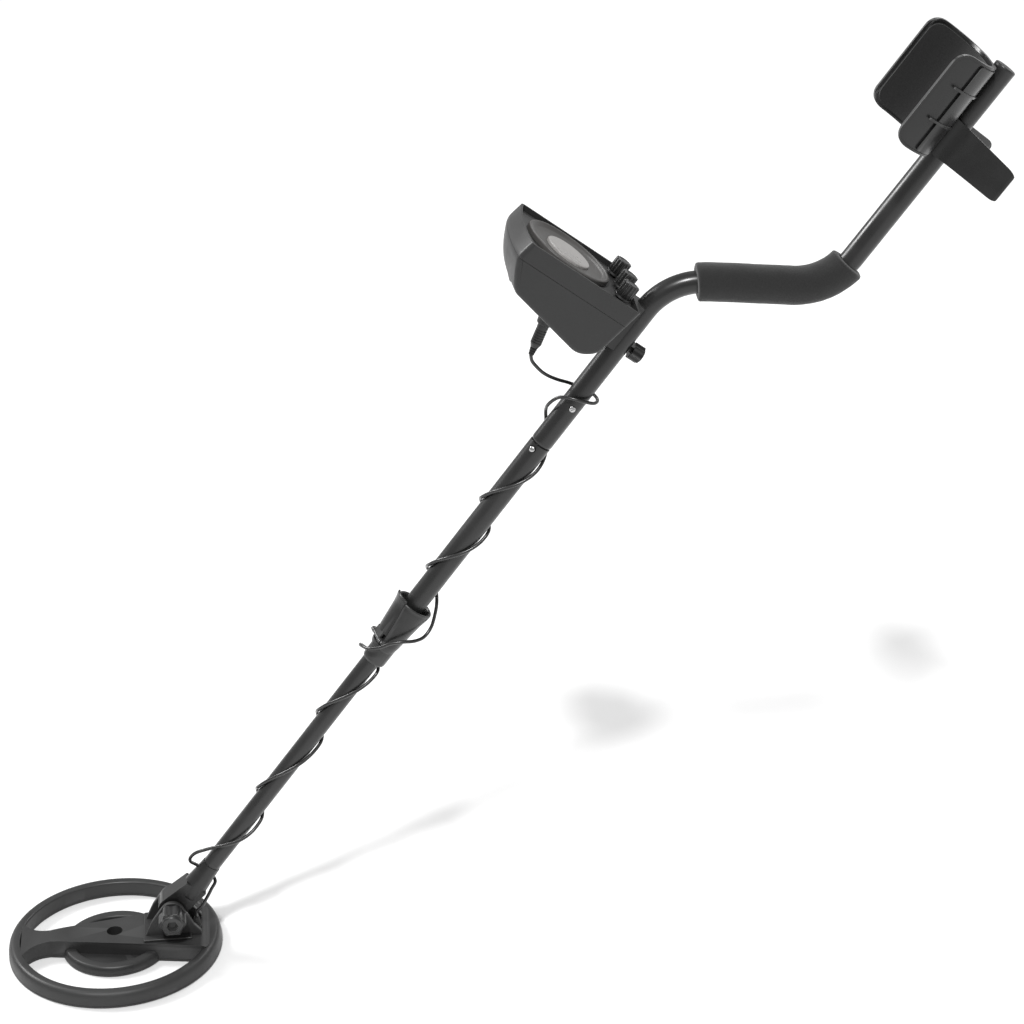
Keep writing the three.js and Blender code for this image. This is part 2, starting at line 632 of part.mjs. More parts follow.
function barOutline() {
  const shape = new THREE.Shape();
  const ringX = (y) => -Math.sqrt((COIL_INNER_R + 2) ** 2 - y * y);
  shape.moveTo(ringX(27), -27);
  shape.quadraticCurveTo(-84, -12, -66, -barHalf(-66));
  const endTurn = Math.asin(barHalf(90) / (COIL_INNER_R + 2));
  shape.absarc(0, 0, COIL_INNER_R + 2, -endTurn, endTurn, false);
  shape.lineTo(-66, barHalf(-66));
  shape.quadraticCurveTo(-84, 12, ringX(27), 27);
  shape.closePath();
  return shape;
}

function barSolid() {
  const side = rounded(
    [[-99, SHELL_FROM], [99, SHELL_FROM], [99, RING_TOP - 1], [90, BAR_TOP], [-58, BAR_TOP], [-96, RING_TOP - 1]],
    [0.5, 0.5, 1, 3, 6, 1],
  );
  return pushZ(barOutline(), SHELL_FROM, BAR_TOP + 2, 5).intersect(pushY(side, -60, 60));
}

const coilLathe = (profile, segments) => turned("z", profile.map(([r, z]) => [z, r]), [0, 0, 0], segments);

function coilShell() {
  const outer = coilLathe([
    [COIL_INNER_R, SHELL_FROM], [COIL_R, SHELL_FROM], [107.6, 12], [106, 15.2], [103, RING_TOP],
    [98, RING_TOP], [COIL_INNER_R, 15.6],
  ], 48);
  const inner = coilLathe([
    [0, SHELL_FROM], [HUB_R, SHELL_FROM], [52.8, 8.6], [50.5, HUB_TOP], [43.4, HUB_TOP], [41.6, 9.6],
    [41, 6], [0, 6],
  ], 36);
  const transmitSlot = coilLathe([[99, 0], [105, 0], [105, 11.5], [99, 11.5]], 36);
  const receiveSlot = coilLathe([[44, 0], [50.3, 0], [50.3, 8], [44, 8]], 28);
  return cut(
    join(outer, inner, barSolid()),
    transmitSlot,
    receiveSlot,
    rod("z", HUB_TOP - 4, 40, 8, [0, 0, 0], 20),
  );
}

function coilBase() {
  const ringPlate = coilLathe([[COIL_INNER_R, 0], [107.4, 0], [COIL_R, 1.2], [COIL_R, BASE_TOP], [COIL_INNER_R, BASE_TOP]], 48);
  const hubPlate = coilLathe([[0, 0], [HUB_R - 1, 0], [HUB_R, 1], [HUB_R, BASE_TOP], [0, BASE_TOP]], 36);
  return join(ringPlate, hubPlate, pushZ(barOutline(), 0, BASE_TOP, 5));
}

const winding = (inner, outer, top, segments) =>
  coilLathe([[inner, SHELL_FROM + GAP], [outer, SHELL_FROM + GAP], [outer, top], [inner, top]], segments);

function hingeBracket() {
  const base = BAR_TOP + GAP;
  const ear = new THREE.Shape();
  ear.moveTo(31, base);
  ear.lineTo(40, 39);
  ear.lineTo(HINGE.x - 11.2, HINGE.z + 6);
  ear.absarc(HINGE.x, HINGE.z, 12.5, 2.6, 0.35, true);
  ear.lineTo(82, 33);
  ear.lineTo(89, 24);
  ear.lineTo(89, base);
  ear.closePath();
  const plate = block(30, 79, -26, 26, base, base + 2.4);
  return cut(
    join(pushY(ear, -EAR_OUT, -EAR_IN, 5), pushY(ear, EAR_IN, EAR_OUT, 5), plate),
    rod("y", -30, 30, HINGE_BOLT_R + GAP, [HINGE.x, 0, HINGE.z], 16),
  );
}

const hingeBolt = () =>
  turned("y", [
    [-38, 0], [-38, HINGE_BOLT_R], [EAR_OUT + GAP, HINGE_BOLT_R], [EAR_OUT + GAP, 8], [23, 8], [24.5, 6.5],
    [24.5, 0],
  ], [HINGE.x, 0, HINGE.z]);

function hingeKnob() {
  const grip = pushY(lobed(14, 2.6, 6, 6), -38.5, -21);
  const hub = rod("y", -24, -EAR_OUT - GAP, 9.5, [0, 0, 0]);
  const face = turned("y", [[-41.5, 0], [-41.5, 9.5], [-39.5, 11], [-38, 11], [-38, 0]]);
  return cut(
    join(grip, hub, face),
    rod("y", -50, 0, HINGE_BOLT_R + GAP, [0, 0, 0], 16),
    rod("y", -50, -38.5, 6, [0, 0, 0], 6),
  );
}

const GLAND = { x: 84.5, y: -6, top: 34 };
const coilGland = () =>
  turned("z", [
    [BAR_TOP + GAP, CABLE_R + GAP], [BAR_TOP + GAP, 4.8], [23.5, 4.8], [GLAND.top, 3],
    [GLAND.top, CABLE_R + GAP],
  ], [GLAND.x, GLAND.y, 0], 14);

// ---------- coil cable (shaft frame) ----------
// From the plug down to the upper tube, behind it, over its front and to its left side.
const FROM_PLUG = [
  [690.5, 0.5, 58], [688, 1, 51], [685.8, 3, 42], [685.2, 6, 33], [686, 10, 22], [688, 14.3, 10],
  [690.5, 15, -4], [693, 9, -14.5], [693, 0, -18.2], [691, -9, -14.5], [688, -14.5, -2], [683, -12, 9.5],
  [676, -6, 16.5],
];
// Past the clamp: behind the tube, hanging off its underside, over the front of the collar, behind again.
const PAST_CLAMP = [
  [454, 10, 10.5], [447, 14.4, -1], [438, 10, -12], [429, 3, -18.5], [419, -1, -23], [407, -5, -26.5],
  [397, -11, -24.5], [391, -17.5, -17], [385, -20.5, -7], [377, -20, 1.5], [367, -18.5, 7.5],
  [358, -13.5, 14], [352.5, -3, 18.4], [349.5, 6, 17], [346, 14, 9.8], [343, 16.3, 0], [340.5, 12, -9],
];
// The loose loop above the coil, and the last stretch under the stem to the gland.
const LOOP = [
  [124, -5.5, -11.2], [115, -9.8, -8.3], [105, -12.2, -3], [94, -11.5, 4.8], [84, -8.5, 11.5], [74, -4.5, 16.8],
  [64, -1, 21.3], [55, 2.5, 21.3], [49, 7, 17.2], [46, 12.5, 9], [45, 15, 0], [45.5, 11, -10.5], [45, 3, -15.6],
];
const TO_GLAND = [[37, 0, -16.4], [27, -3.5, -17.2], [17, -5.5, -17.8], [8.6, -6, -16.9], [4.3, -6, -20.1]];

// Where the winding passes the two sides of the shaft in turn: [distance up the shaft, distance off its line].
// An odd first side is the left one. From a right side the cable goes on over the front of the shaft.
const ON_TUBE = { first: 1, sides: [[664, 18.2], [610, 14.3], [549, 14.1], [522, 14.4], [461, 14.3]] };
const ON_STEM = { first: 8, sides: [[337, 12.6], [269, 12.2], [240, 12.2], [163, 12.2], [134, 12.4]] };
const HALF_TURN_STEPS = 4;

function wound({ first, sides }) {
  const middle = Math.min(...sides.map(([, off]) => off)) - 0.2;
  const points = [];
  sides.slice(1).forEach(([toX, toOff], i) => {
    const [fromX, fromOff] = sides[i];
    for (let step = 0; step < HALF_TURN_STEPS; step++) {
      const t = step / HALF_TURN_STEPS;
      const turn = Math.PI * (first + i + t);
      const off = THREE.MathUtils.lerp(middle, THREE.MathUtils.lerp(fromOff, toOff, t), Math.cos(turn) ** 2);
      points.push([THREE.MathUtils.lerp(fromX, toX, t), -off * Math.sin(turn), -off * Math.cos(turn)]);
    }
  });
  const [lastX, lastOff] = sides.at(-1);
  const lastTurn = Math.PI * (first + sides.length - 1);
  points.push([lastX, 0, -lastOff * Math.cos(lastTurn)]);
  return points;
}

// The cable is one line cut in three where it changes body, with a gap at each cut.
const CABLE_STEP = 11;
const CABLE_CUT = 0.9;
function cableParts() {
  const exit = PLUG_END - GAP;
  const start = [PLUG.x + exit * Math.cos(PLUG.lean), 0, PLUG.z + exit * Math.sin(PLUG.lean)];
  const route = [start, ...FROM_PLUG, ...wound(ON_TUBE), ...PAST_CLAMP, ...wound(ON_STEM), ...LOOP, ...TO_GLAND];
  const curve = new THREE.CatmullRomCurve3(
    route.map(([x, y, z]) => new THREE.Vector3(x, y, z)),
    false,
    "centripetal",
  );
  const stations = curve.getSpacedPoints(Math.round(curve.getLength() / CABLE_STEP));
  const nearest = (x) =>
    stations.reduce((best, p, i) => (Math.abs(p.x - x) < Math.abs(stations[best].x - x) ? i : best), 0);
  const marks = [0, nearest(337), nearest(40), stations.length - 1];
  return [0, 1, 2].map((i) => {
    const part = stations.slice(marks[i], marks[i + 1] + 1).map((p) => p.clone());
    if (i > 0) part[0].lerp(part[1], CABLE_CUT / CABLE_STEP);
    if (i < 2) part.at(-1).lerp(part.at(-2), CABLE_CUT / CABLE_STEP);
    return swept(part, CABLE_R, 0, 4);
  });
}

// ---------- assembly ----------
const detector = new THREE.Group();

const shaft = new THREE.Group();
shaft.rotation.y = -SHAFT_TILT;
const gripOffset = new THREE.Vector3(GRIP_CENTRE.x, 0, GRIP_CENTRE.z);
shaft.position.copy(gripOffset.applyEuler(shaft.rotation).negate());
detector.add(shaft);

shaft.add(
  piece("upper_tube", upperTube(), LOOK.paint),
  piece("middle_tube", middleTube(), LOOK.paint),
  piece("tube_screw", tubeScrew(), LOOK.steel),
  piece("lower_stem", lowerStem(), LOOK.paint),
  piece("stem_guide", stemGuide(), LOOK.softBlack),
  piece("stem_yoke", stemYoke(), LOOK.plastic),
  piece("hinge_washer_left", hingeWasher(-EAR_IN + GAP, -10.5 - GAP), LOOK.softBlack),
  piece("hinge_washer_right", hingeWasher(10.5 + GAP, EAR_IN - GAP), LOOK.softBlack),
  piece("clamp_bush", clampBush(), LOOK.softBlack),
  piece("foam_grip", foamGrip(), LOOK.foam),
  piece("tube_end_cap", tubeEndCap(), LOOK.softBlack),
  piece("arm_cuff", armCuff(), LOOK.plastic),
  piece("cuff_pad", cuffPad(), LOOK.foam),
  piece("cuff_stand", cuffStand(), LOOK.plastic),
  piece("cuff_bolt", cuffBolt(), LOOK.steel),
  piece("cuff_nut", cuffNut(), LOOK.steel),
  piece("box_shell", boxShell(), LOOK.plastic),
  piece("box_bezel", boxBezel(), LOOK.plastic),
  piece("battery_door", batteryDoor(), LOOK.plastic),
  piece("battery_left", battery(-26.9, -0.4), LOOK.battery),
  piece("battery_right", battery(0.4, 26.9), LOOK.battery),
  piece("circuit_board", circuitBoard(), LOOK.board),
  piece("meter_case", meterCase(), LOOK.plastic),
  piece("meter_movement", meterMovement(), LOOK.steel),
  piece("meter_dial", meterDial(), LOOK.scale),
  piece("meter_ring", meterRing(), LOOK.grey),
  piece("meter_window", meterWindow(), LOOK.glass),
  piece("speaker", speaker(), LOOK.softBlack),
  piece("box_saddle", boxSaddle(), LOOK.plastic),
);

const clamp = new THREE.Group();
clamp.rotation.x = CLAMP_TURN;
clamp.add(
  piece("clamp_collar", clampCollar(), LOOK.plastic),
  piece("clamp_lever", clampLever(), LOOK.plastic),
  piece("clamp_pin", clampPin(), LOOK.steel),
);
shaft.add(clamp);

const snap = new THREE.Group();
snap.rotation.x = SNAP_TURN;
snap.add(piece("snap_spring", snapSpring(), LOOK.steel), piece("snap_button", snapButton(), LOOK.steel));
shaft.add(snap);

const needle = piece("meter_needle", meterNeedle(), LOOK.softBlack);
needle.position.z = PIVOT_Z;
needle.rotation.x = THREE.MathUtils.degToRad(40);
const screw = piece("box_thumbscrew", thumbscrew(), LOOK.softBlack);
screw.position.x = THUMBSCREW_X;
shaft.add(needle, screw);

for (const { name, y, z, pot } of KNOBS) {
  const knob = piece("knob_" + name, controlKnob(), LOOK.softBlack);
  knob.position.set(0, y, z);
  shaft.add(knob, piece("pot_" + name, potentiometer(y, z, pot), LOOK.steel));
}

const plug = new THREE.Group();
plug.position.set(PLUG.x, 0, PLUG.z);
plug.rotation.y = -PLUG.lean;
plug.add(
  piece("box_socket", boxSocket(), LOOK.plastic),
  piece("cable_plug", cablePlug(), LOOK.softBlack),
  piece("plug_boot", plugBoot(), LOOK.softBlack),
);
shaft.add(plug);

const [cableUpper, cableLower, cableTail] = cableParts();
shaft.add(
  piece("cable_upper", cableUpper, LOOK.softBlack),
  piece("cable_lower", cableLower, LOOK.softBlack),
  piece("cable_tail", cableTail, LOOK.softBlack),
);

const coil = new THREE.Group();
const hingeInShaft = new THREE.Vector3(0, 0, HINGE_RISE).applyEuler(shaft.rotation).add(shaft.position);
coil.position.set(hingeInShaft.x - HINGE.x, 0, hingeInShaft.z - HINGE.z);
detector.add(coil);

const knobOnCoil = piece("hinge_knob", hingeKnob(), LOOK.softBlack);
knobOnCoil.position.set(HINGE.x, 0, HINGE.z);
coil.add(
  piece("coil_shell", coilShell(), LOOK.plastic),
  piece("coil_base", coilBase(), LOOK.plastic),
  piece("transmit_winding", winding(99.8, 104.2, 10.8, 36), LOOK.copper),
  piece("receive_winding", winding(44.8, 49.4, 7.4, 28), LOOK.copper),
  piece("hinge_bracket", hingeBracket(), LOOK.plastic),
  piece("hinge_bolt", hingeBolt(), LOOK.softBlack),
  piece("coil_gland", coilGland(), LOOK.softBlack),
  knobOnCoil,
);

export default detector;
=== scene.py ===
import json
import math

import bmesh
import bpy
from mathutils import Matrix, Vector, noise


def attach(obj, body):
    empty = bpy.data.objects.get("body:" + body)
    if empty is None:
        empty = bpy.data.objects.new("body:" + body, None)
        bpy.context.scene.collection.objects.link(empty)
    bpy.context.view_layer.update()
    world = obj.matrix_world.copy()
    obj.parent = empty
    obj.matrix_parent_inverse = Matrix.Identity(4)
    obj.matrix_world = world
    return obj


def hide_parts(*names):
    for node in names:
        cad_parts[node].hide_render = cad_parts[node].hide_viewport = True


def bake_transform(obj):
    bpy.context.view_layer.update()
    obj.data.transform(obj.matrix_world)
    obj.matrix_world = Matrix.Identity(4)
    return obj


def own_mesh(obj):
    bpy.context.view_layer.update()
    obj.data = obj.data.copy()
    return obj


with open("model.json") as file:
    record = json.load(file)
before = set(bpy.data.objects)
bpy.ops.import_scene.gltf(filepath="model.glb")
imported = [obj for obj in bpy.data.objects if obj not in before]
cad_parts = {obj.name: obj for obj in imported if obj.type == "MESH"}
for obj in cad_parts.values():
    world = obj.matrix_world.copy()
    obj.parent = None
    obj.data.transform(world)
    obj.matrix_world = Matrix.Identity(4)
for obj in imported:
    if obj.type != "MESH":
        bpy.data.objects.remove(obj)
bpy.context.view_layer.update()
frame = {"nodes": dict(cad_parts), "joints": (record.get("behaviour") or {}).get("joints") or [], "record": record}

MM = 0.001
GAP = 0.3

# ---------- frames ----------
JOINTS = {joint["name"]: joint for joint in frame["joints"]}
MOUNTS = {mount["name"]: mount for mount in frame["record"]["mounts"]}
HINGE_RISE = 6.4  # coil hinge above the shaft's centre line
UP = -Vector(JOINTS["stem_slide"]["axis"]).normalized()
OFF = Vector((-UP.z, 0, UP.x))
FOOT = Vector(JOINTS["coil_tilt"]["pos_m"]) - OFF * HINGE_RISE * MM
UNDERSIDE = Vector(MOUNTS["coil_underside"]["pos_m"])


def frame_matrix(x, y, z, origin):
    matrix = Matrix((x * MM, y * MM, z * MM)).transposed().to_4x4()
    matrix.translation = origin
    return matrix


SHAFT = frame_matrix(UP, Vector((0, 1, 0)), OFF, FOOT)
COIL = frame_matrix(Vector((1, 0, 0)), Vector((0, 1, 0)), Vector((0, 0, 1)), UNDERSIDE)


def turned_about_shaft(degrees):
    return SHAFT @ Matrix.Rotation(math.radians(degrees), 4, "X")


# ---------- dimensions, shaft frame ----------
TUBE_R, TUBE_BORE = 11, 10
SWAGE_R = 9.7
STEM_R, STEM_BORE = 9, 8
STEM_FROM, STEM_TO = 30, 500
MIDDLE_FROM, SEAM, SWAGE_FROM = 366, 625.5, 576
BEND_R, BEND = 65, math.radians(58.4)
FIRST_CORNER, GRIP_LINE = 828.8, 154
TUBE_END = 1169
ARM_Z = -GRIP_LINE * math.sin(BEND)
GRIP_R = 18.6
BOX_HALF, BOX_WALL, BOX_SEAM, BOX_RIM, BOX_FRONT = 54, 2.5, 781.5, 800, 153.3
FACE_FROM, FACE_TO = 792, 795
METER_Z = 94.8
NEEDLE_DROP, NEEDLE_SWEEP = 12, 40  # the pivot below the meter's middle, and degrees to either side
KNOBS = (("left", -30, 36), ("centre", 0, 33), ("right", 30, 36))
KNOB_FROM, KNOB_TO = 799.5, 814
THUMBSCREW_X, TUBE_SCREW_X, SNAP_X = 752.5, 675, 619.5
SNAP_TURN, CLAMP_TURN = 55, 18
CUFF_FROM, CUFF_TO, CUFF_BOLT_X = 1067, 1168, 1090
STAND_FROM, STAND_TO = 1069, 1110
CABLE_R = 1.75

# ---------- dimensions, coil frame ----------
HINGE_X, HINGE_Z = 61, 47
COIL_R, COIL_INNER_R = 108.6, 96
RING_TOP, BAR_TOP, BASE_TOP = 17, 20, 2.7
HUB_R, HUB_TOP = 54, 11
EAR_IN, EAR_OUT = 13, 18
BOLT_R = 4


# ---------- camera ----------
def camera():
    data = bpy.data.cameras.new("camera")
    data.lens = 108.63
    data.sensor_width = 36
    data.clip_start, data.clip_end = 0.05, 60
    obj = bpy.data.objects.new("camera", data)
    right = Vector((0.99554, -0.09126, -0.02395))
    up = Vector((0.06156, 0.43598, 0.89785))
    back = Vector((-0.07150, -0.89532, 0.43965))
    obj.matrix_world = Matrix((right, up, back)).transposed().to_4x4()
    obj.location = (-0.443487, -2.67780, 1.091074)
    bpy.context.scene.collection.objects.link(obj)
    bpy.context.scene.camera = obj


# ---------- mesh helpers ----------
LARGE_FACE, FACE_BORDER = 400, 0.5  # square millimetres, millimetres


def to_object(bm):
    bmesh.ops.recalc_face_normals(bm, faces=bm.faces)
    mesh = bpy.data.meshes.new("work")
    bm.to_mesh(mesh)
    bm.free()
    obj = bpy.data.objects.new("work", mesh)
    bpy.context.scene.collection.objects.link(obj)
    return obj


def apply_modifiers(obj):
    bpy.context.view_layer.update()
    graph = bpy.context.evaluated_depsgraph_get()
    mesh = bpy.data.meshes.new_from_object(obj.evaluated_get(graph))
    old = obj.data
    obj.modifiers.clear()
    obj.data = mesh
    bpy.data.meshes.remove(old)
    return obj


def boolean(operation, body, tools):
    for tool in tools:
        modifier = body.modifiers.new("boolean", "BOOLEAN")
        modifier.operation = operation
        modifier.solver = "EXACT"
        modifier.object = tool
    apply_modifiers(body)
    for tool in tools:
        bpy.data.objects.remove(tool)
    return body


def cut(body, *tools):
    return boolean("DIFFERENCE", body, tools)


def join(body, *others):
    return boolean("UNION", body, others)


def common(body, *others):
    return boolean("INTERSECT", body, others)


def soften(obj, width, segments=2, angle=30):
    """Rounds every edge that turns by more than the angle."""
    modifier = obj.modifiers.new("bevel", "BEVEL")
    modifier.width = width
    modifier.segments = segments
    modifier.limit_method = "ANGLE"
    modifier.angle_limit = math.radians(angle)
    modifier.harden_normals = False
    modifier.miter_outer = "MITER_ARC"
    return apply_modifiers(obj)


AXES = {
    "x": lambda a, r, t: (a, r * math.cos(t), r * math.sin(t)),
    "y": lambda a, r, t: (r * math.cos(t), a, r * math.sin(t)),
    "z": lambda a, r, t: (r * math.cos(t), r * math.sin(t), a),
}


def turned(axis, profile, at=(0, 0, 0), segments=64):
    """A profile of (distance along the axis, radius) pairs turned about the axis; a radius of 0 closes it."""
    bm = bmesh.new()
    at = Vector(at)
    rings = []
    for along, radius in profile:
        count = 1 if radius < 1e-6 else segments
        turns = [2 * math.pi * i / count for i in range(count)]
        rings.append([bm.verts.new(at + Vector(AXES[axis](along, radius, t))) for t in turns])
    hollow = len(rings[0]) > 1 and len(rings[-1]) > 1
    pairs = list(zip(rings, rings[1:])) + ([(rings[-1], rings[0])] if hollow else [])
    for a, b in pairs:
        for i in range(segments):
            corners = [a[i % len(a)], a[(i + 1) % len(a)], b[(i + 1) % len(b)], b[i % len(b)]]
            different = list(dict.fromkeys(corners))
            if len(different) > 2:
                bm.faces.new(different)
    return to_object(bm)


def rod(axis, start, end, radius, at=(0, 0, 0), segments=32):
    return turned(axis, [(start, 0), (start, radius), (end, radius), (end, 0)], at, segments)


def ring(axis, start, end, inner, outer, at=(0, 0, 0), segments=64):
    return turned(axis, [(start, inner), (start, outer), (end, outer), (end, inner)], at, segments)


PLANES = {
    "x": lambda p, h: (h, p[0], p[1]),
    "y": lambda p, h: (p[0], h, p[1]),
    "z": lambda p, h: (p[0], p[1], h),
}


def pushed(axis, outline, start, end):
    """A closed outline of 2-D points pushed along an axis."""
    bm = bmesh.new()
    low = [bm.verts.new(PLANES[axis](p, start)) for p in outline]
    high = [bm.verts.new(PLANES[axis](p, end)) for p in outline]
    bm.faces.new(low)
    bm.faces.new(high)
    for i in range(len(outline)):
        j = (i + 1) % len(outline)
        bm.faces.new((low[i], low[j], high[j], high[i]))
    return to_object(bm)


def block(x0, x1, y0, y1, z0, z1):
    return pushed("z", [(x0, y0), (x1, y0), (x1, y1), (x0, y1)], z0, z1)


def rounded(corners, radii, steps=6):
    """A polygon whose corners are rounded off over the given distances."""
    reach = radii if isinstance(radii, (list, tuple)) else [radii] * len(corners)
    points = [Vector(c) for c in corners]
    outline = []
    for i, corner in enumerate(points):
        before = (points[i - 1] - corner).normalized() * reach[i]
        after = (points[(i + 1) % len(points)] - corner).normalized() * reach[i]
        for step in range(steps + 1):
            t = step / steps
            outline.append(corner + before * (1 - t) ** 2 + after * t**2)
    return outline


def smooth_line(points, per_span=6):
    """Points on a smooth curve through the given ones."""
    points = [Vector(p) for p in points]
    line = []
    for i in range(len(points) - 1):
        p0, p1 = points[max(i - 1, 0)], points[i]
        p2, p3 = points[i + 1], points[min(i + 2, len(points) - 1)]
        for step in range(per_span):
            t = step / per_span
            a = 2 * p1
            b = p2 - p0
            c = 2 * p0 - 5 * p1 + 4 * p2 - p3
            d = 3 * p1 - p0 - 3 * p2 + p3
            line.append((a + b * t + c * t**2 + d * t**3) / 2)
    return line + [points[-1]]


def wall(line, thickness):
    """The outline of a wall of even thickness along an open 2-D line."""
    sides = []
    for side in (thickness / 2, -thickness / 2):
        points = []
        for i, p in enumerate(line):
            along = (line[min(i + 1, len(line) - 1)] - line[max(i - 1, 0)]).normalized()
            points.append(Vector((p.x - along.y * side, p.y + along.x * side)))
        sides.append(points)
    return sides[0] + sides[1][::-1]


def lobed(radius, swell, lobes, per_lobe=12):
    count = lobes * per_lobe
    outline = []
    for i in range(count):
        turn = 2 * math.pi * i / count
        r = radius - swell * (0.5 - 0.5 * math.cos(turn * lobes))
        outline.append((r * math.cos(turn), r * math.sin(turn)))
    return outline


def sweep(points, radii, sides=32):
    """A closed round bar along the points, with a radius at each of them."""
    bm = bmesh.new()
    across = None
    rings = []
    for i, point in enumerate(points):
        along = (points[min(i + 1, len(points) - 1)] - points[max(i - 1, 0)]).normalized()
        across = along.orthogonal() if across is None else across - along * across.dot(along)
        across.normalize()
        third = along.cross(across)
        turns = [2 * math.pi * k / sides for k in range(sides)]
        spokes = [across * math.cos(t) + third * math.sin(t) for t in turns]
        rings.append([bm.verts.new(point + radii[i] * spoke) for spoke in spokes])
    for a, b in zip(rings, rings[1:]):
        for k in range(sides):
            bm.faces.new((a[k], a[(k + 1) % sides], b[(k + 1) % sides], b[k]))
    bm.faces.new(rings[0])
    bm.faces.new(rings[-1])
    return to_object(bm)


def flats_bordered(obj):
    """Gives each large flat face a narrow border, so that the worn look keeps close to the edge."""
    bm = bmesh.new()
    bm.from_mesh(obj.data)
    large = [face for face in bm.faces if face.calc_area() > LARGE_FACE and len(face.verts) > 8]
    bmesh.ops.inset_individual(bm, faces=large, thickness=FACE_BORDER, use_even_offset=False)
    bm.to_mesh(obj.data)
    bm.free()
    return obj


def piece(name, obj, placed_by, material, body, nodes, sharp=35):
    """Names a finished mesh, puts it in the row frame, and ties it to its body, CAD nodes and finish."""
    obj.name = name
    obj.data.transform(placed_by)
    obj.data.shade_smooth()
    obj.data.set_sharp_from_angle(angle=math.radians(sharp))
    flatter = obj.modifiers.new("flat_faces_stay_flat", "WEIGHTED_NORMAL")
    flatter.keep_sharp = True
    apply_modifiers(obj)
    obj.data.name = name
    obj.data.materials.clear()
    obj.data.materials.append(material)
    if body:
        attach(obj, body)
    if nodes:
        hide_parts(*nodes)
    return obj


# ---------- materials ----------
def surface(
    name, dark, light, roughness, grain=1500, depth=0.04, metal=0.0, coat=0.0, sheen=0.0,
    wear=0.0, cells=False, stretch=(1, 1, 1), transmission=0.0, blotch=24,
):
    """Two close colours in soft blotches that also vary the gloss, a fine grain in bump and colour, and paler worn
    edges.
    grain and blotch are in cells a metre, depth is the grain's height in millimetres."""
    material = bpy.data.materials.new(name)
    material.use_nodes = True
    tree = material.node_tree
    nodes, links = tree.nodes, tree.links
    shader = nodes["Principled BSDF"]
    shader.inputs["Metallic"].default_value = metal
    shader.inputs["Coat Weight"].default_value = coat
    shader.inputs["Coat Roughness"].default_value = 0.25
    shader.inputs["Sheen Weight"].default_value = sheen
    shader.inputs["Sheen Roughness"].default_value = 0.5
    shader.inputs["Transmission Weight"].default_value = transmission

    where = nodes.new("ShaderNodeTexCoord").outputs["Object"]
    mapping = nodes.new("ShaderNodeMapping")
    mapping.inputs["Scale"].default_value = stretch
    links.new(where, mapping.inputs["Vector"])

    patches = nodes.new("ShaderNodeTexNoise")
    patches.inputs["Scale"].default_value = blotch
    patches.inputs["Detail"].default_value = 6
    patches.inputs["Roughness"].default_value = 0.62
    links.new(where, patches.inputs["Vector"])

    fine = nodes.new("ShaderNodeTexVoronoi" if cells else "ShaderNodeTexNoise")
    fine.inputs["Scale"].default_value = grain
    links.new(mapping.outputs["Vector"], fine.inputs["Vector"])
    height = fine.outputs["Distance"] if cells else fine.outputs["Fac"]

    blend = nodes.new("ShaderNodeMix")
    blend.data_type = "RGBA"
    spread = nodes.new("ShaderNodeMapRange")
    spread.inputs["From Min"].default_value = 0.3
    spread.inputs["From Max"].default_value = 0.7
    links.new(patches.outputs["Fac"], spread.inputs["Value"])
    links.new(spread.outputs["Result"], blend.inputs["Factor"])
    blend.inputs["A"].default_value = (*dark, 1)
    blend.inputs["B"].default_value = (*light, 1)

    speckle = nodes.new("ShaderNodeMix")
    speckle.data_type = "RGBA"
    speckle.blend_type = "MULTIPLY"
    speckle.inputs["Factor"].default_value = 0.35
    links.new(blend.outputs["Result"], speckle.inputs["A"])
    pits = nodes.new("ShaderNodeMapRange")
    pits.inputs["From Min"].default_value = 0.2
    pits.inputs["From Max"].default_value = 0.7
    pits.inputs["To Min"].default_value = 0.45
    pits.inputs["To Max"].default_value = 1.15
    links.new(height, pits.inputs["Value"])
    links.new(pits.outputs["Result"], speckle.inputs["B"])

    worn = nodes.new("ShaderNodeMix")
    worn.data_type = "RGBA"
    edges = nodes.new("ShaderNodeMapRange")
    edges.inputs["From Min"].default_value = 0.53
    edges.inputs["From Max"].default_value = 0.62
    edges.inputs["To Max"].default_value = wear
    links.new(nodes.new("ShaderNodeNewGeometry").outputs["Pointiness"], edges.inputs["Value"])
    links.new(edges.outputs["Result"], worn.inputs["Factor"])
    links.new(speckle.outputs["Result"], worn.inputs["A"])
    worn.inputs["B"].default_value = (*[min(1, 3.2 * c + 0.05) for c in light], 1)
    links.new(worn.outputs["Result"], shader.inputs["Base Color"])

    gloss = nodes.new("ShaderNodeMapRange")
    gloss.inputs["From Min"].default_value = 0.3
    gloss.inputs["From Max"].default_value = 0.7
    gloss.inputs["To Min"].default_value = max(0.03, roughness - 0.09)
    gloss.inputs["To Max"].default_value = min(1, roughness + 0.09)
    links.new(patches.outputs["Fac"], gloss.inputs["Value"])
    links.new(gloss.outputs["Result"], shader.inputs["Roughness"])

    bump = nodes.new("ShaderNodeBump")
    bump.inputs["Strength"].default_value = 0.6
    bump.inputs["Distance"].default_value = depth * MM
    links.new(height, bump.inputs["Height"])
    links.new(bump.outputs["Normal"], shader.inputs["Normal"])
    return material


def grey(level, warmth=0.0):
    return (level * (1 + warmth), level, level * (1 - warmth))


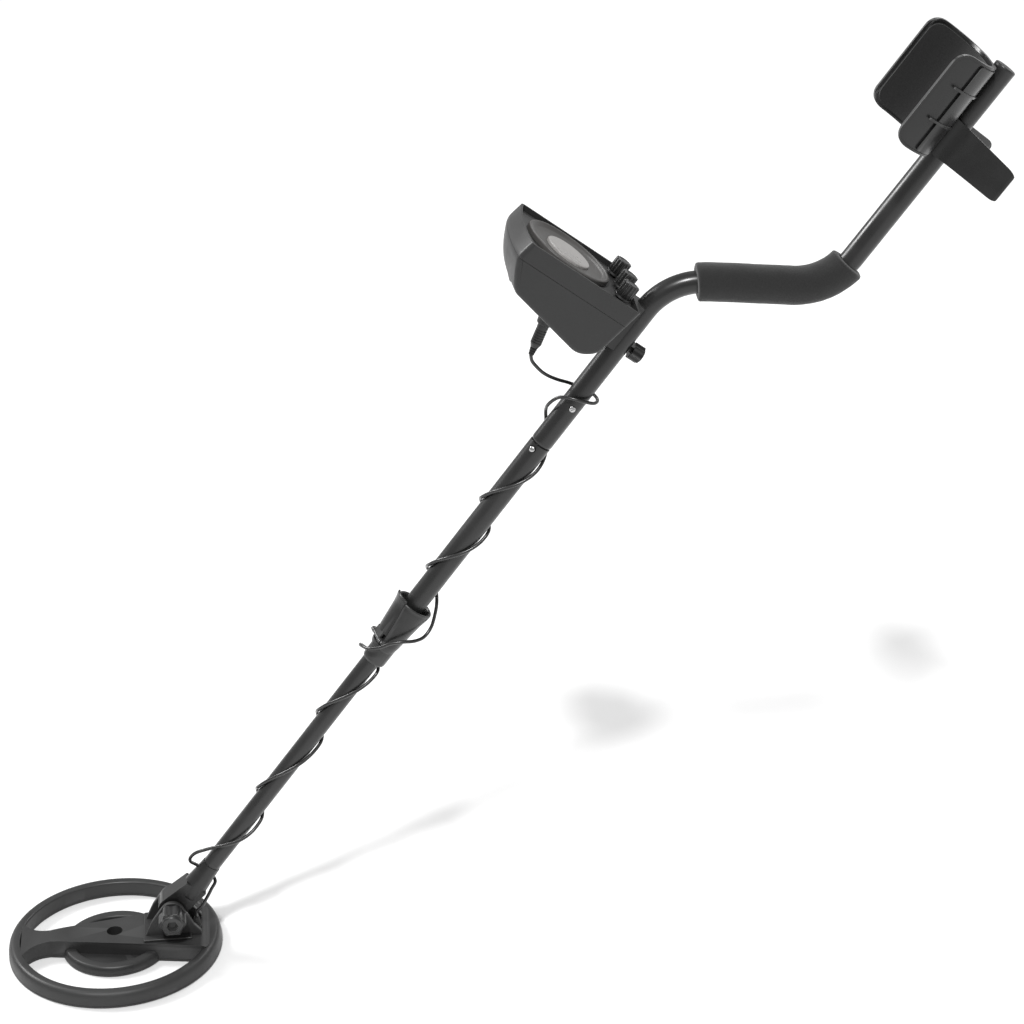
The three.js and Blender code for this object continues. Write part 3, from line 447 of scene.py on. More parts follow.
COATING = surface(
    "satin_coating", grey(0.011), grey(0.017), 0.33, grain=2600, depth=0.006, coat=0.2, wear=0.1,
)
MOULDING = surface("grained_moulding", grey(0.02), grey(0.027), 0.46, grain=2100, depth=0.05, wear=0.15)
CUFF_PLASTIC = surface("cuff_moulding", grey(0.013), grey(0.02), 0.3, grain=1700, depth=0.04, wear=0.7)
FACE_PLATE = surface("face_plate", grey(0.04), grey(0.05), 0.45, grain=2400, depth=0.05)
SOFT_BLACK = surface(
    "soft_black", grey(0.007), grey(0.011), 0.34, grain=2300, depth=0.03, coat=0.15, wear=0.3,
)
FOAM = surface(
    "grip_foam", grey(0.012), grey(0.018), 0.93, grain=950, depth=0.32, sheen=0.25, cells=True,
)
PAD_FOAM = surface(
    "pad_foam", grey(0.007), grey(0.013), 0.95, grain=760, depth=0.4, sheen=0.2, cells=True,
)
RUBBER = surface("black_rubber", grey(0.012), grey(0.019), 0.62, grain=1900, depth=0.04)
JACKET = surface("cable_jacket", grey(0.012), grey(0.019), 0.3, grain=3000, depth=0.01, coat=0.35)
RING_GREY = surface(
    "warm_grey_ring", grey(0.06, 0.04), grey(0.075, 0.04), 0.42, grain=2200, depth=0.04, wear=0.3,
)
WINDOW = surface(
    "frosted_window", grey(0.44, 0.03), grey(0.5, 0.03), 0.32, grain=1500, depth=0.02, transmission=0.22,
)
SCALE = surface("scale_plate", grey(0.5, 0.05), grey(0.56, 0.05), 0.6, grain=2600, depth=0.01)
MARKS = surface("scale_marks", grey(0.02), grey(0.03), 0.6, grain=2600, depth=0.01)
STEEL = surface(
    "plated_steel", grey(0.52), grey(0.62), 0.24, grain=900, depth=0.02, metal=1.0, stretch=(1, 9, 1),
)
COPPER = surface(
    "enamelled_copper", (0.42, 0.17, 0.07), (0.6, 0.27, 0.12), 0.3, grain=1400, depth=0.1, metal=1.0,
)
BOARD = surface("circuit_board", (0.015, 0.09, 0.035), (0.02, 0.13, 0.05), 0.45, grain=500, depth=0.05)
BATTERY = surface(
    "battery_case", grey(0.05), grey(0.07), 0.35, grain=1500, depth=0.02, metal=0.3, wear=0.4,
)

# CAD nodes that are inside or behind other pieces keep their shape and take one of these.
CARRIED_OVER = {
    "stem_guide": SOFT_BLACK, "clamp_bush": SOFT_BLACK, "clamp_pin": STEEL,
    "cuff_nut": STEEL, "circuit_board": BOARD, "meter_movement": STEEL, "meter_case": MOULDING,
    "pot_left": SOFT_BLACK, "pot_centre": SOFT_BLACK, "pot_right": SOFT_BLACK, "speaker": SOFT_BLACK,
    "battery_left": BATTERY, "battery_right": BATTERY, "transmit_winding": COPPER,
    "receive_winding": COPPER, "box_socket": SOFT_BLACK,
}


def repaint_carried_over():
    for node, material in CARRIED_OVER.items():
        obj = frame["nodes"][node]
        obj.data.materials.clear()
        obj.data.materials.append(material)


# ---------- cable ----------
PLUG = {"x": 739.7, "z": 74, "lean": 0.25}
COLLAR_END, PLUG_FRONT, PLUG_END = -13, -38, -46
FROM_PLUG = [
    (690.5, 0.5, 58), (688, 1, 51), (685.8, 3, 42), (685.2, 6, 33), (686, 10, 22), (688, 14.3, 10),
    (690.5, 15, -4), (693, 9, -14.5), (693, 0, -18.2), (691, -9, -14.5), (688, -14.5, -2), (683, -12, 9.5),
    (676, -6, 16.5),
]
PAST_CLAMP = [
    (454, 10, 10.5), (447, 14.4, -1), (438, 10, -12), (429, 3, -18.5), (419, -1, -23), (407, -5, -26.5),
    (397, -11, -24.5), (391, -17.5, -17), (385, -20.5, -7), (377, -20, 1.5), (367, -18.5, 7.5),
    (358, -13.5, 14), (352.5, -3, 18.4), (349.5, 6, 17), (346, 14, 9.8), (343, 16.3, 0), (340.5, 12, -9),
]
LOOP = [
    (124, -5.5, -11.2), (115, -9.8, -8.3), (105, -12.2, -3), (94, -11.5, 4.8), (84, -8.5, 11.5),
    (74, -4.5, 16.8), (64, -1, 21.3), (55, 2.5, 21.3), (49, 7, 17.2), (46, 12.5, 9), (45, 15, 0),
    (45.5, 11, -10.5), (45, 3, -15.6),
]
TO_GLAND = [(37, 0, -16.4), (27, -3.5, -17.2), (17, -5.5, -17.8), (8.6, -6, -16.9), (4.3, -6, -20.1)]
# Where the winding passes the two sides of the shaft: (distance up the shaft, distance off its line).
ON_TUBE = (1, [(664, 18.2), (610, 13.6), (549, 13.4), (522, 13.6), (461, 13.6)])
ON_STEM = (8, [(337, 12.4), (269, 11.4), (240, 11.4), (163, 11.4), (134, 12)])
HALF_TURN_STEPS = 6
CUT_AT_STEM, CUT_AT_YOKE = 337, 40


def wound(first, sides):
    """Half turns about the shaft from one side to the next; first says which side comes first."""
    middle = min(off for _, off in sides) - 0.2
    points = []
    for i, ((x0, off0), (x1, off1)) in enumerate(zip(sides, sides[1:])):
        for step in range(HALF_TURN_STEPS):
            t = step / HALF_TURN_STEPS
            turn = math.pi * (first + i + t)
            side = off0 + (off1 - off0) * t
            off = middle + (side - middle) * math.cos(turn) ** 2
            points.append((x0 + (x1 - x0) * t, -off * math.sin(turn), -off * math.cos(turn)))
    x, off = sides[-1]
    return points + [(x, 0, -off * math.cos(math.pi * (first + len(sides) - 1)))]


def centripetal(points, per_span):
    """A curve through the points that neither overshoots nor loops where they are unevenly spaced."""
    points = [Vector(p) for p in points]
    ends = [2 * points[0] - points[1], *points, 2 * points[-1] - points[-2]]
    line = []
    for p0, p1, p2, p3 in zip(ends, ends[1:], ends[2:], ends[3:]):
        t1 = (p1 - p0).length ** 0.5
        t2 = t1 + (p2 - p1).length ** 0.5
        t3 = t2 + (p3 - p2).length ** 0.5
        for step in range(per_span):
            t = t1 + (t2 - t1) * step / per_span
            a1 = p0 * ((t1 - t) / t1) + p1 * (t / t1)
            a2 = p1 * ((t2 - t) / (t2 - t1)) + p2 * ((t - t1) / (t2 - t1))
            a3 = p2 * ((t3 - t) / (t3 - t2)) + p3 * ((t - t2) / (t3 - t2))
            b1 = a1 * ((t2 - t) / t2) + a2 * (t / t2)
            b2 = a2 * ((t3 - t) / (t3 - t1)) + a3 * ((t - t1) / (t3 - t1))
            line.append(b1 * ((t2 - t) / (t2 - t1)) + b2 * ((t - t1) / (t2 - t1)))
    return line + [points[-1]]


def cables():
    """One line from the plug to the gland, cut where it goes from one body to the next."""
    reach = PLUG_END - GAP
    start = (PLUG["x"] + reach * math.cos(PLUG["lean"]), 0, PLUG["z"] + reach * math.sin(PLUG["lean"]))
    route = [start, *FROM_PLUG, *wound(*ON_TUBE), *PAST_CLAMP, *wound(*ON_STEM), *LOOP, *TO_GLAND]
    line = centripetal(route, 5)
    cuts = [0]
    for x in (CUT_AT_STEM, CUT_AT_YOKE):
        cuts.append(min(range(len(line)), key=lambda i: abs(line[i].x - x)))
    cuts.append(len(line) - 1)
    lays = ("hanging", "taut", "loose")
    for name, a, b, lay in zip(("upper", "lower", "tail"), cuts, cuts[1:], lays):
        points = line[a : b + 1]
        obj = sweep(points, [CABLE_R] * len(points), 14)
        node = "cable_" + name
        piece("coil_" + node, obj, SHAFT, JACKET, None, [node], sharp=60)
        if name == "upper":
            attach(obj, "root")
        else:
            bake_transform(obj)


# ---------- the S line of the upper tube ----------
BEND_REACH = BEND_R * math.tan(BEND / 2)
BEND_LENGTH = BEND_R * BEND
STRAIGHT = GRIP_LINE - 2 * BEND_REACH
BEND_1_AT = FIRST_CORNER - BEND_REACH


def on_tube(distance):
    """Point on the tube's centre line, at a distance after the start of its first bend."""
    x, z, heading = BEND_1_AT + min(distance, 0), 0, 0
    left = max(distance, 0)
    for length, turn in ((BEND_LENGTH, -1), (STRAIGHT, 0), (BEND_LENGTH, 1), (math.inf, 0)):
        run = min(left, length)
        angle = turn * run / BEND_R
        chord = 2 * BEND_R * math.sin(abs(angle) / 2) if turn else run
        x += chord * math.cos(heading + angle / 2)
        z += chord * math.sin(heading + angle / 2)
        heading += angle
        left -= run
    return Vector((x, 0, z))


TUBE_LENGTH = 2 * BEND_LENGTH + STRAIGHT + TUBE_END - on_tube(2 * BEND_LENGTH + STRAIGHT).x
GRIP_START = BEND_LENGTH - 10
GRIP_FINISH = 2 * BEND_LENGTH + STRAIGHT - 7.5


# ---------- shaft ----------
def upper_tube():
    start = SEAM + 4 - BEND_1_AT
    steps = 150
    bend = [start + (TUBE_LENGTH - start) * i / steps for i in range(steps + 1)]
    points = [Vector((x, 0, 0)) for x in (SWAGE_FROM, SWAGE_FROM + 1, SEAM - 0.2, SEAM + 1, SEAM + 2.4)]
    radii = [SWAGE_R - 0.5, SWAGE_R, SWAGE_R, SWAGE_R + 0.2, TUBE_R - 0.25]
    points += [on_tube(d) for d in bend]
    radii += [TUBE_R] * len(bend)
    tube = sweep(points, radii, 64)
    tube = cut(tube, rod("y", -14, -9, 3.4, (TUBE_SCREW_X, 0, 0), 32))
    piece("shaft_tube_upper", tube, SHAFT, COATING, "root", ["upper_tube"], sharp=50)


def middle_tube():
    tube = ring("x", MIDDLE_FROM, SEAM, TUBE_BORE, TUBE_R, segments=64)
    hole = rod("z", 5, 14, 3.5, (SNAP_X, 0, 0), 32)
    hole.data.transform(Matrix.Rotation(math.radians(SNAP_TURN), 4, "X"))
    tube = soften(cut(tube, hole), 0.25, 2)
    piece("shaft_tube_middle", tube, SHAFT, COATING, "root", ["middle_tube"])


def snap_button():
    dome = turned("z", [
        (6.8, 0), (6.8, 3), (11.2, 3), (12.1, 2.75), (12.6, 2.1), (12.85, 1.1), (12.9, 0),
    ], (SNAP_X, 0, 0), 40)
    piece("shaft_lock_button", dome, turned_about_shaft(SNAP_TURN), STEEL, "button", ["snap_button"])


def snap_spring():
    """The leaf spring behind the button, as one fixed shape; the real one closes up as the button is pressed."""
    line = [(615, -7.4), (594, -7), (588, -4.5), (586.5, 0), (590, 3.6), (602, 5), (623, 6)]
    leaf = pushed("y", wall(smooth_line(line, 4), 0.8), -3.5, 3.5)
    placed_by = turned_about_shaft(SNAP_TURN)
    spring = piece("shaft_lock_spring", leaf, placed_by, STEEL, "root", ["snap_spring"])
    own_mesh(spring)


def tube_screw():
    head = turned("y", [
        (-12.9, 0), (-12.85, 1), (-12.6, 2.1), (-12.1, 2.9), (-11.3, 3.15), (-10.6, 3.15), (-10.6, 0),
    ], (TUBE_SCREW_X, 0, 0), 40)
    slot = pushed("y", [(-4, -0.45), (4, -0.45), (4, 0.45), (-4, 0.45)], -14, -12)
    slot.data.transform(Matrix.Translation((TUBE_SCREW_X, 0, 0)) @ Matrix.Rotation(0.5, 4, "Y"))
    head = soften(cut(head, slot), 0.12, 2)
    piece("shaft_slotted_screw", head, SHAFT, STEEL, "root", ["tube_screw"])


def lower_stem():
    stem = soften(ring("x", STEM_FROM, STEM_TO, STEM_BORE, STEM_R, segments=64), 0.3, 2)
    piece("shaft_stem_lower", stem, SHAFT, COATING, "stem", ["lower_stem"])


def stem_yoke():
    top = HINGE_RISE
    around, end = 1.16, 2 * math.pi - 2.2
    turns = [around + (end - around) * i / 28 for i in range(29)]
    tongue = [(34, -11.6), (34, 11.6), (6, top + 13.4)]
    tongue += [(14.5 * math.cos(t), top + 14.5 * math.sin(t)) for t in turns]
    body = soften(pushed("y", tongue, -10.5, 10.5), 1.2, 3, 40)
    flare = turned("x", [
        (20, 0), (20, 11), (21.5, 12.2), (34, 12.2), (42, 11.4), (52, 10.4), (61, 9.75), (61.8, 9.6),
        (61.8, 0),
    ], segments=64)
    body = cut(
        join(body, flare),
        rod("x", STEM_FROM - GAP, 70, STEM_R + GAP, segments=64),
        rod("y", -20, 20, BOLT_R + GAP, (0, 0, top)),
    )
    piece("hinge_yoke", soften(body, 0.5, 2, 35), SHAFT, SOFT_BLACK, "stem", ["stem_yoke"])


def hinge_washers():
    for side, name in ((-1, "left"), (1, "right")):
        start, end = sorted((side * (10.5 + GAP), side * (EAR_IN - GAP)))
        washer = soften(ring("y", start, end, BOLT_R + GAP, 10.5, (0, 0, HINGE_RISE)), 0.5, 3)
        piece("hinge_rubber_" + name, washer, SHAFT, RUBBER, "stem", ["hinge_washer_" + name])


# ---------- cam-lock collar ----------
LEVER_HALF, PIVOT_HALF = 10, 7
PIN_X, PIN_Z, PIN_R, PIN_EAR_R = 371, 13.4, 1.2, 2.4
CLAMP = turned_about_shaft(CLAMP_TURN)


def pin_hole():
    return rod("y", -20, 20, PIN_R + GAP, (PIN_X, 0, PIN_Z), 24)


def clamp_collar():
    sleeve = turned("x", [
        (343.6, 0), (343.6, 10.2), (344.6, 11.4), (346.8, 12.2), (372, 12.4), (372, 0),
    ], (0, 0, -1.6), 72)
    funnel = turned("x", [
        (362, 0), (362, 12.6), (363.4, 13.3), (372, 14.6), (390, 16.2), (404, 17.8), (411, 19), (414, 19.5),
        (417.4, 19.5), (418.2, 18.9), (418.2, 17.6), (416.5, 16.7), (400, 14.2), (390, 12.4), (390, 0),
    ], segments=72)
    bore = turned("x", [
        (340, 0), (340, STEM_R + 0.5), (MIDDLE_FROM - GAP, STEM_R + 0.5), (MIDDLE_FROM - GAP, TUBE_R + GAP),
        (400, TUBE_R + GAP), (400, 0),
    ], segments=64)
    window = block(366.5, 431, -LEVER_HALF - GAP, LEVER_HALF + GAP, 5, 40)
    ears = []
    for start, end in ((-LEVER_HALF - 2, -PIVOT_HALF - GAP), (PIVOT_HALF + GAP, LEVER_HALF + 2)):
        ears.append(rod("y", start, end, PIN_EAR_R, (PIN_X, 0, PIN_Z), 36))
        ears.append(block(PIN_X - PIN_EAR_R, PIN_X + PIN_EAR_R, start, end, 9, PIN_Z))
    body = join(cut(join(sleeve, funnel), window), *ears)
    body = soften(cut(body, bore, pin_hole()), 0.35, 2, 38)
    piece("clamp_body", body, CLAMP, SOFT_BLACK, "root", ["clamp_collar"])


def clamp_lever():
    plate = turned("x", [
        (378.5, 13.2), (378.5, 15.4), (392, 16.9), (408, 18.6), (414, 19.7), (418, 21), (420, 21.4),
        (421.3, 20.8), (421.4, 19.9), (418, 17.8), (408, 16.2), (390, 13.8),
    ], segments=120)
    plate = common(plate, block(370, 430, -LEVER_HALF, LEVER_HALF, 5, 40))
    plate = soften(plate, 0.5, 3, 40)
    hub = rod("y", -PIVOT_HALF, PIVOT_HALF, 2.1, (PIN_X, 0, PIN_Z), 36)
    arm = block(PIN_X, 380, -PIVOT_HALF, PIVOT_HALF, PIN_Z - 0.8, PIN_Z + 1.4)
    body = soften(cut(join(plate, hub, arm), pin_hole()), 0.2, 2, 38)
    piece("clamp_flip_lever", body, CLAMP, SOFT_BLACK, "lever", ["clamp_lever"])


# ---------- grip and arm cuff ----------
def foam_grip():
    """Closed-cell foam sleeve with rounded ends and an uneven, hand-worn skin."""
    steps = 170
    rounding = 3.2
    points, radii = [], []
    for i in range(steps + 1):
        d = GRIP_START + (GRIP_FINISH - GRIP_START) * i / steps
        from_end = min(d - GRIP_START, GRIP_FINISH - d)
        short = max(0, rounding - from_end)
        fall = rounding - math.sqrt(rounding**2 - short**2)
        points.append(on_tube(d))
        radii.append(GRIP_R - fall)
    grip = sweep(points, radii, 96)
    bore_line = [on_tube(GRIP_START - 3), *points, on_tube(GRIP_FINISH + 3)]
    bore = sweep(bore_line, [TUBE_R + 0.25] * len(bore_line), 64)
    grip = cut(grip, bore)
    for vertex in grip.data.vertices:
        swell = noise.noise(vertex.co * 0.035) * 0.45 + noise.noise(vertex.co * 0.16) * 0.16
        vertex.co += vertex.normal * swell
    piece("grip_sleeve", grip, SHAFT, FOAM, "root", ["foam_grip"], sharp=60)


def tube_end_cap():
    cap = turned("x", [
        (TUBE_END - 12, 0), (TUBE_END - 12, 9.4), (TUBE_END, 9.6), (TUBE_END, TUBE_R),
        (TUBE_END + 1.6, TUBE_R), (TUBE_END + 2.4, TUBE_R - 0.5), (TUBE_END + 2.8, TUBE_R - 1.6),
        (TUBE_END + 2.2, 4), (TUBE_END + 2, 0),
    ], (0, 0, ARM_Z), 64)
    piece("shaft_end_cap", cap, SHAFT, SOFT_BLACK, "root", ["tube_end_cap"])


def mirrored(half):
    return [(-y, z) for y, z in reversed(half)] + list(half)


CUFF_LINE = mirrored([(11, -115.1), (27, -111.5), (42, -103), (52, -90), (55.5, -78), (57, -64.5)])
PAD_LINE = mirrored([(11, -111.5), (26, -108), (39.5, -100.4), (48.7, -88.4), (52, -77.4), (53.4, -68)])
STAND_LINE = mirrored([(7, -118.4), (12, -121.5), (14.6, -131), (21, -146), (33, -167), (46, -188)])


RIB_WIDE, BEAD_WIDE = 2.4, 2.2


def trimmed_wall(line, thickness, start, end, side):
    body = pushed("x", wall(smooth_line(line, 5), thickness), start, end)
    return common(body, pushed("y", side, -80, 80))


def side_view(start, end, low, high, low_round, high_round, steps=10):
    """A rectangle seen from the side, with its own rounding at the bottom and at the top."""
    corners = [(start, low), (end, low), (end, high), (start, high)]
    return rounded(corners, [low_round, low_round, high_round, high_round], steps)


def arm_cuff():
    """The bent shell with a bead round its rim, and outside it a thicker lower band with two ribs."""
    side = side_view(CUFF_FROM, CUFF_TO, -120, -64.4, 4, 17)
    body = soften(trimmed_wall(CUFF_LINE, 3, CUFF_FROM, CUFF_TO, side), 0.8, 3, 40)
    outside = [(y * 1.03, z - 1.2) for y, z in CUFF_LINE]
    band_side = side_view(CUFF_FROM + 3, CUFF_TO - 3, -121, -91, 1, 3, 4)
    added = [soften(trimmed_wall(outside, 3.4, CUFF_FROM + 3, CUFF_TO - 3, band_side), 0.45, 2, 40)]
    ribbed = [(y * 1.05, z - 2) for y, z in CUFF_LINE]
    for x in (CUFF_FROM + 33, CUFF_TO - 33):
        rib_side = side_view(x, x + RIB_WIDE, -122, -80, 0.5, 1, 4)
        added.append(soften(trimmed_wall(ribbed, 4.2, x, x + RIB_WIDE, rib_side), 0.4, 2, 40))
    inner_side = side_view(CUFF_FROM + BEAD_WIDE, CUFF_TO - BEAD_WIDE, -130, -66.6, 4, 15)
    bead = cut(trimmed_wall(CUFF_LINE, 4.6, CUFF_FROM, CUFF_TO, side), pushed("y", inner_side, -80, 80))
    body = join(body, soften(bead, 1, 3, 40), *added)
    body = cut(body, rod("z", -130, -100, 2.8, (CUFF_BOLT_X, 0, 0)))
    piece("cuff_shell", body, SHAFT, CUFF_PLASTIC, "root", ["arm_cuff"], sharp=40)


def cuff_pad():
    side = side_view(CUFF_FROM + 4, CUFF_TO - 4, -118, -68, 4, 14)
    pad = trimmed_wall(PAD_LINE, 3, CUFF_FROM + 4, CUFF_TO - 4, side)
    pad = cut(pad, rod("z", -130, -100, 6.5, (CUFF_BOLT_X, 0, 0), 48))
    pad = soften(pad, 1.25, 3, 40)
    piece("cuff_lining", pad, SHAFT, PAD_FOAM, "root", ["cuff_pad"], sharp=60)


def cuff_stand():
    corners = [(STAND_FROM, -116), (STAND_FROM + 1, -189.5), (STAND_TO - 8, -189.5), (STAND_TO, -116)]
    side = rounded(corners, [1, 9, 9, 1], 8)
    body = soften(trimmed_wall(STAND_LINE, 3, STAND_FROM, STAND_TO, side), 0.8, 3, 40)
    body = cut(body, rod("z", -130, -110, 2.8, (CUFF_BOLT_X, 0, 0)))
    piece("cuff_foot_stand", body, SHAFT, CUFF_PLASTIC, "root", ["cuff_stand"], sharp=40)


def cuff_bolt():
    bolt = turned("z", [
        (-150, 0), (-150, 2.5), (-113.2, 2.5), (-113.2, 5.3), (-112.4, 5.2), (-111.4, 4.4), (-110.7, 2.8),
        (-110.5, 0),
    ], (CUFF_BOLT_X, 0, 0), 48)
    cross = [block(-2.6, 2.6, -0.45, 0.45, -111.9, -108), block(-0.45, 0.45, -2.6, 2.6, -111.9, -108)]
    for tool in cross:
        tool.data.transform(Matrix.Translation((CUFF_BOLT_X, 0, 0)) @ Matrix.Rotation(0.4, 4, "Z"))
    bolt = soften(cut(bolt, *cross), 0.12, 2)
    piece("cuff_cross_bolt", bolt, SHAFT, STEEL, "root", ["cuff_bolt"])


# ---------- control box ----------
BOX_OUTLINE = [
    (BOX_RIM + 20, 146.4), (BOX_RIM + 20, 16.2), (744.5, 28.3), (733.7, 44.3), (751.9, 134.5), (764, 144.5),
    (BOX_SEAM, BOX_FRONT),
]
BOX_CORNERS = [16, 16, 8, 9, 7.5, 7.5, 6]
UNDERSIDE_TILT = math.atan2(18.2, 90.2)  # of the outline's long lower side
FRONT_BULGE = 6
DOOR = {"x": 743.5, "z": 92, "long": 42, "half": 28, "thick": 2.3}


def bulged(x, y, z, half):
    """Seen from behind, the front end is a shallow arc: the sides fall back towards the operator."""
    share = min(1, max(0, (z - 112) / 34))
    return Vector((x, y, z - FRONT_BULGE * (y / half) ** 2 * share * share * (3 - 2 * share)))


def inset_outline(outline, inset):
    """The outline moved inwards by an even distance."""
    moved = []
    for i, point in enumerate(outline):
        along = (outline[(i + 1) % len(outline)] - outline[i - 1]).normalized()
        moved.append(point + Vector((along.y, -along.x)) * inset)
    return moved


def box_form(inset, edge):
    """The box as a solid with rounded long edges, the given distance inside its outer skin."""
    outline = rounded(BOX_OUTLINE, BOX_CORNERS, 8)
    half = BOX_HALF - inset
    turns = [math.pi / 2 * i / 6 for i in range(7)]
    stations = [(half - edge + edge * math.cos(t), edge - edge * math.sin(t)) for t in turns]
    stations += [((half - edge) * (1 - i / 8), 0) for i in range(1, 8)]
    stations += [(0, 0)] + [(-y, deep) for y, deep in reversed(stations)]
    bm = bmesh.new()
    rows = []
    for y, deep in stations:
        line = inset_outline(outline, inset + deep)
        rows.append([bm.verts.new(bulged(p.x, y, p.y, BOX_HALF)) for p in line])
    for a, b in zip(rows, rows[1:]):
        for i in range(len(outline)):
            k = (i + 1) % len(outline)
            bm.faces.new((a[i], a[k], b[k], b[i]))
    bm.faces.new(rows[0])
    bm.faces.new(rows[-1])
    return to_object(bm)


def box_slice(start, end):
    """The hollow box between two distances up the shaft."""
    return cut(common(box_form(0, 4.2), block(start, end, -80, 80, 0, 200)), box_form(BOX_WALL, 2.4))


def on_underside(obj):
    obj.data.transform(
        Matrix.Translation((DOOR["x"], 0, DOOR["z"])) @ Matrix.Rotation(UNDERSIDE_TILT, 4, "Y")
    )
    return obj


def leaning():
    """Places a piece drawn along x on the axis of the cable socket."""
    return Matrix.Translation((PLUG["x"], 0, PLUG["z"])) @ Matrix.Rotation(-PLUG["lean"], 4, "Y")


def box_shell():
    body = soften(box_slice(700, BOX_SEAM), 0.55, 2, 62)
    door = on_underside(block(-10, 10, -DOOR["half"] - 0.4, DOOR["half"] + 0.4, 0, DOOR["long"]))
    slots = [soften(block(750, 768, 48, 60, 51 + 6 * i, 53.5 + 6 * i), 1, 3, 40) for i in range(5)]
    collar = turned("x", [
        (COLLAR_END, 0), (COLLAR_END, 6.8), (COLLAR_END + 0.5, 7.4), (COLLAR_END + 1.6, 7.7),
        (-2, 8.1), (1, 9), (3, 10), (3, 0),
    ])
    collar.data.transform(leaning())
    hole = rod("x", COLLAR_END - 5, 15, 6.3)
    hole.data.transform(leaning())
    body = flats_bordered(cut(join(cut(body, door, *slots), collar), hole))
    piece("box_rear_shell", body, SHAFT, MOULDING, "root", ["box_shell"], sharp=40)


def box_bezel():
    body = flats_bordered(soften(box_slice(BOX_SEAM + GAP, BOX_RIM), 0.6, 3, 62))
    piece("box_front_frame", body, SHAFT, MOULDING, "root", ["box_bezel"], sharp=40)
    face = common(box_form(BOX_WALL + 0.1, 2.4), block(FACE_FROM, FACE_TO, -80, 80, 0, 200))
    holes = [rod("x", 780, 810, 3.4, (0, y, z)) for _, y, z in KNOBS]
    face = cut(face, rod("x", 780, 810, 31, (0, 0, METER_Z), 64), *holes)
    piece("box_face_plate", soften(face, 0.4, 2), SHAFT, FACE_PLATE, "root", [])


def battery_door():
    half, long, thick = DOOR["half"], DOOR["long"], DOOR["thick"]
    plate = soften(block(0, thick, -half, half, 0.4, long - 0.4), 0.5, 3)
    grooves = []
    for i in range(4):
        groove = block(-1, 0.7, -9, 9, long - 9 - 2.4 * i, long - 7.8 - 2.4 * i)
        grooves.append(soften(groove, 0.3, 2))
    plate = cut(plate, *grooves)
    hook = block(thick - 1, thick + 3, -6, 6, long - 5, long - 2.4)
    door = on_underside(join(plate, hook))
    piece("box_battery_door", door, SHAFT, MOULDING, "door", ["battery_door"])


def about_needle_pivot(turn):
    return Matrix.Translation((0, 0, METER_Z - NEEDLE_DROP)) @ Matrix.Rotation(turn, 4, "X")


def meter():
    centre = (0, 0, METER_Z)
    rim = turned("x", [
        (FACE_TO + GAP, 24), (FACE_TO + GAP, 45.6), (796.2, 46.1), (799, 46.1), (799.9, 45.8), (800.3, 45),
        (800.35, 44), (800.1, 43.1), (799.2, 41.8), (797.9, 40.2), (797.5, 38), (796.9, 27), (796.9, 25),
        (796.6, 24),
    ], centre, 128)
    piece("meter_trim_ring", rim, SHAFT, RING_GREY, "root", ["meter_ring"], sharp=45)
    lens = turned("x", [
        (FACE_TO + GAP, 0), (FACE_TO + GAP, 23.7), (798.2, 23.7), (798.9, 23.3), (799.25, 22.4), (799.35, 20),
        (799.4, 0),
    ], centre, 96)
    piece("meter_lens", lens, SHAFT, WINDOW, "root", ["meter_window"], sharp=45)
    dial = soften(rod("x", 788, 789, 27, centre, 96), 0.2, 2)
    piece("meter_scale_plate", dial, SHAFT, SCALE, "root", ["meter_dial"])
    marks = []
    for i in range(9):
        turn = math.radians(-NEEDLE_SWEEP + 10 * i)
        long = 4.5 if i % 2 == 0 else 2.6
        mark = block(789, 789.25, -0.35, 0.35, 29 - long, 29)
        mark.data.transform(about_needle_pivot(turn))
        marks.append(mark)
    scale = join(marks[0], *marks[1:])
    piece("meter_scale_marks", soften(scale, 0.06, 1), SHAFT, MARKS, "root", [])


def meter_needle():
    pointer = pushed("x", [(-0.9, -7), (0.9, -7), (0.45, 24), (0, 30), (-0.45, 24)], 790, 790.8)
    hub = rod("x", 789.6, 792, 2.6)
    needle = soften(cut(join(pointer, hub), rod("x", 780, 800, 1 + GAP)), 0.1, 2)
    needle.data.transform(about_needle_pivot(math.radians(NEEDLE_SWEEP)))
    piece("meter_pointer", needle, SHAFT, MARKS, "needle", ["meter_needle"])


def control_knobs():
    for name, y, z in KNOBS:
        skirt = turned("x", [
            (FACE_TO + 2.5, 0), (FACE_TO + 2.5, 8.7), (FACE_TO + 3, 9.1), (KNOB_FROM, 8.7),
            (KNOB_FROM + 0.4, 8), (KNOB_FROM + 0.4, 0),
        ])
        grip = soften(pushed("x", lobed(8.5, 0.8, 14), KNOB_FROM - 0.5, KNOB_TO - 0.4), 0.35, 2, 60)
        crown = turned("x", [
            (KNOB_TO - 1.4, 0), (KNOB_TO - 1.4, 7.6), (KNOB_TO - 0.7, 7.4), (KNOB_TO - 0.2, 6.9),
            (KNOB_TO, 6), (KNOB_TO - 0.5, 5.4), (KNOB_TO - 0.5, 0),
        ])
        pointer = soften(block(KNOB_TO - 1, KNOB_TO + 1, -0.5, 0.5, 1.5, 9), 0.15, 2)
        shaft_hole = rod("x", 790, KNOB_TO - 4.5, 3 + GAP)
        knob = cut(join(skirt, grip, crown), pointer, shaft_hole)
        knob.data.transform(Matrix.Translation((0, y, z)))
        piece("knob_cap_" + name, knob, SHAFT, SOFT_BLACK, name + "_control", ["knob_" + name])


def box_saddle():
    outline = rounded([(746, 5), (796, 5), (796, 19.2), (746, 27.2)], 1)
    body = cut(
        pushed("y", outline, -13.5, 13.5),
        rod("x", 740, 800, TUBE_R + GAP, segments=64),
        rod("z", 0, 20, 3 + GAP, (THUMBSCREW_X, 0, 0)),
    )
    piece("box_tube_saddle", soften(body, 0.9, 3, 40), SHAFT, MOULDING, "root", ["box_saddle"])


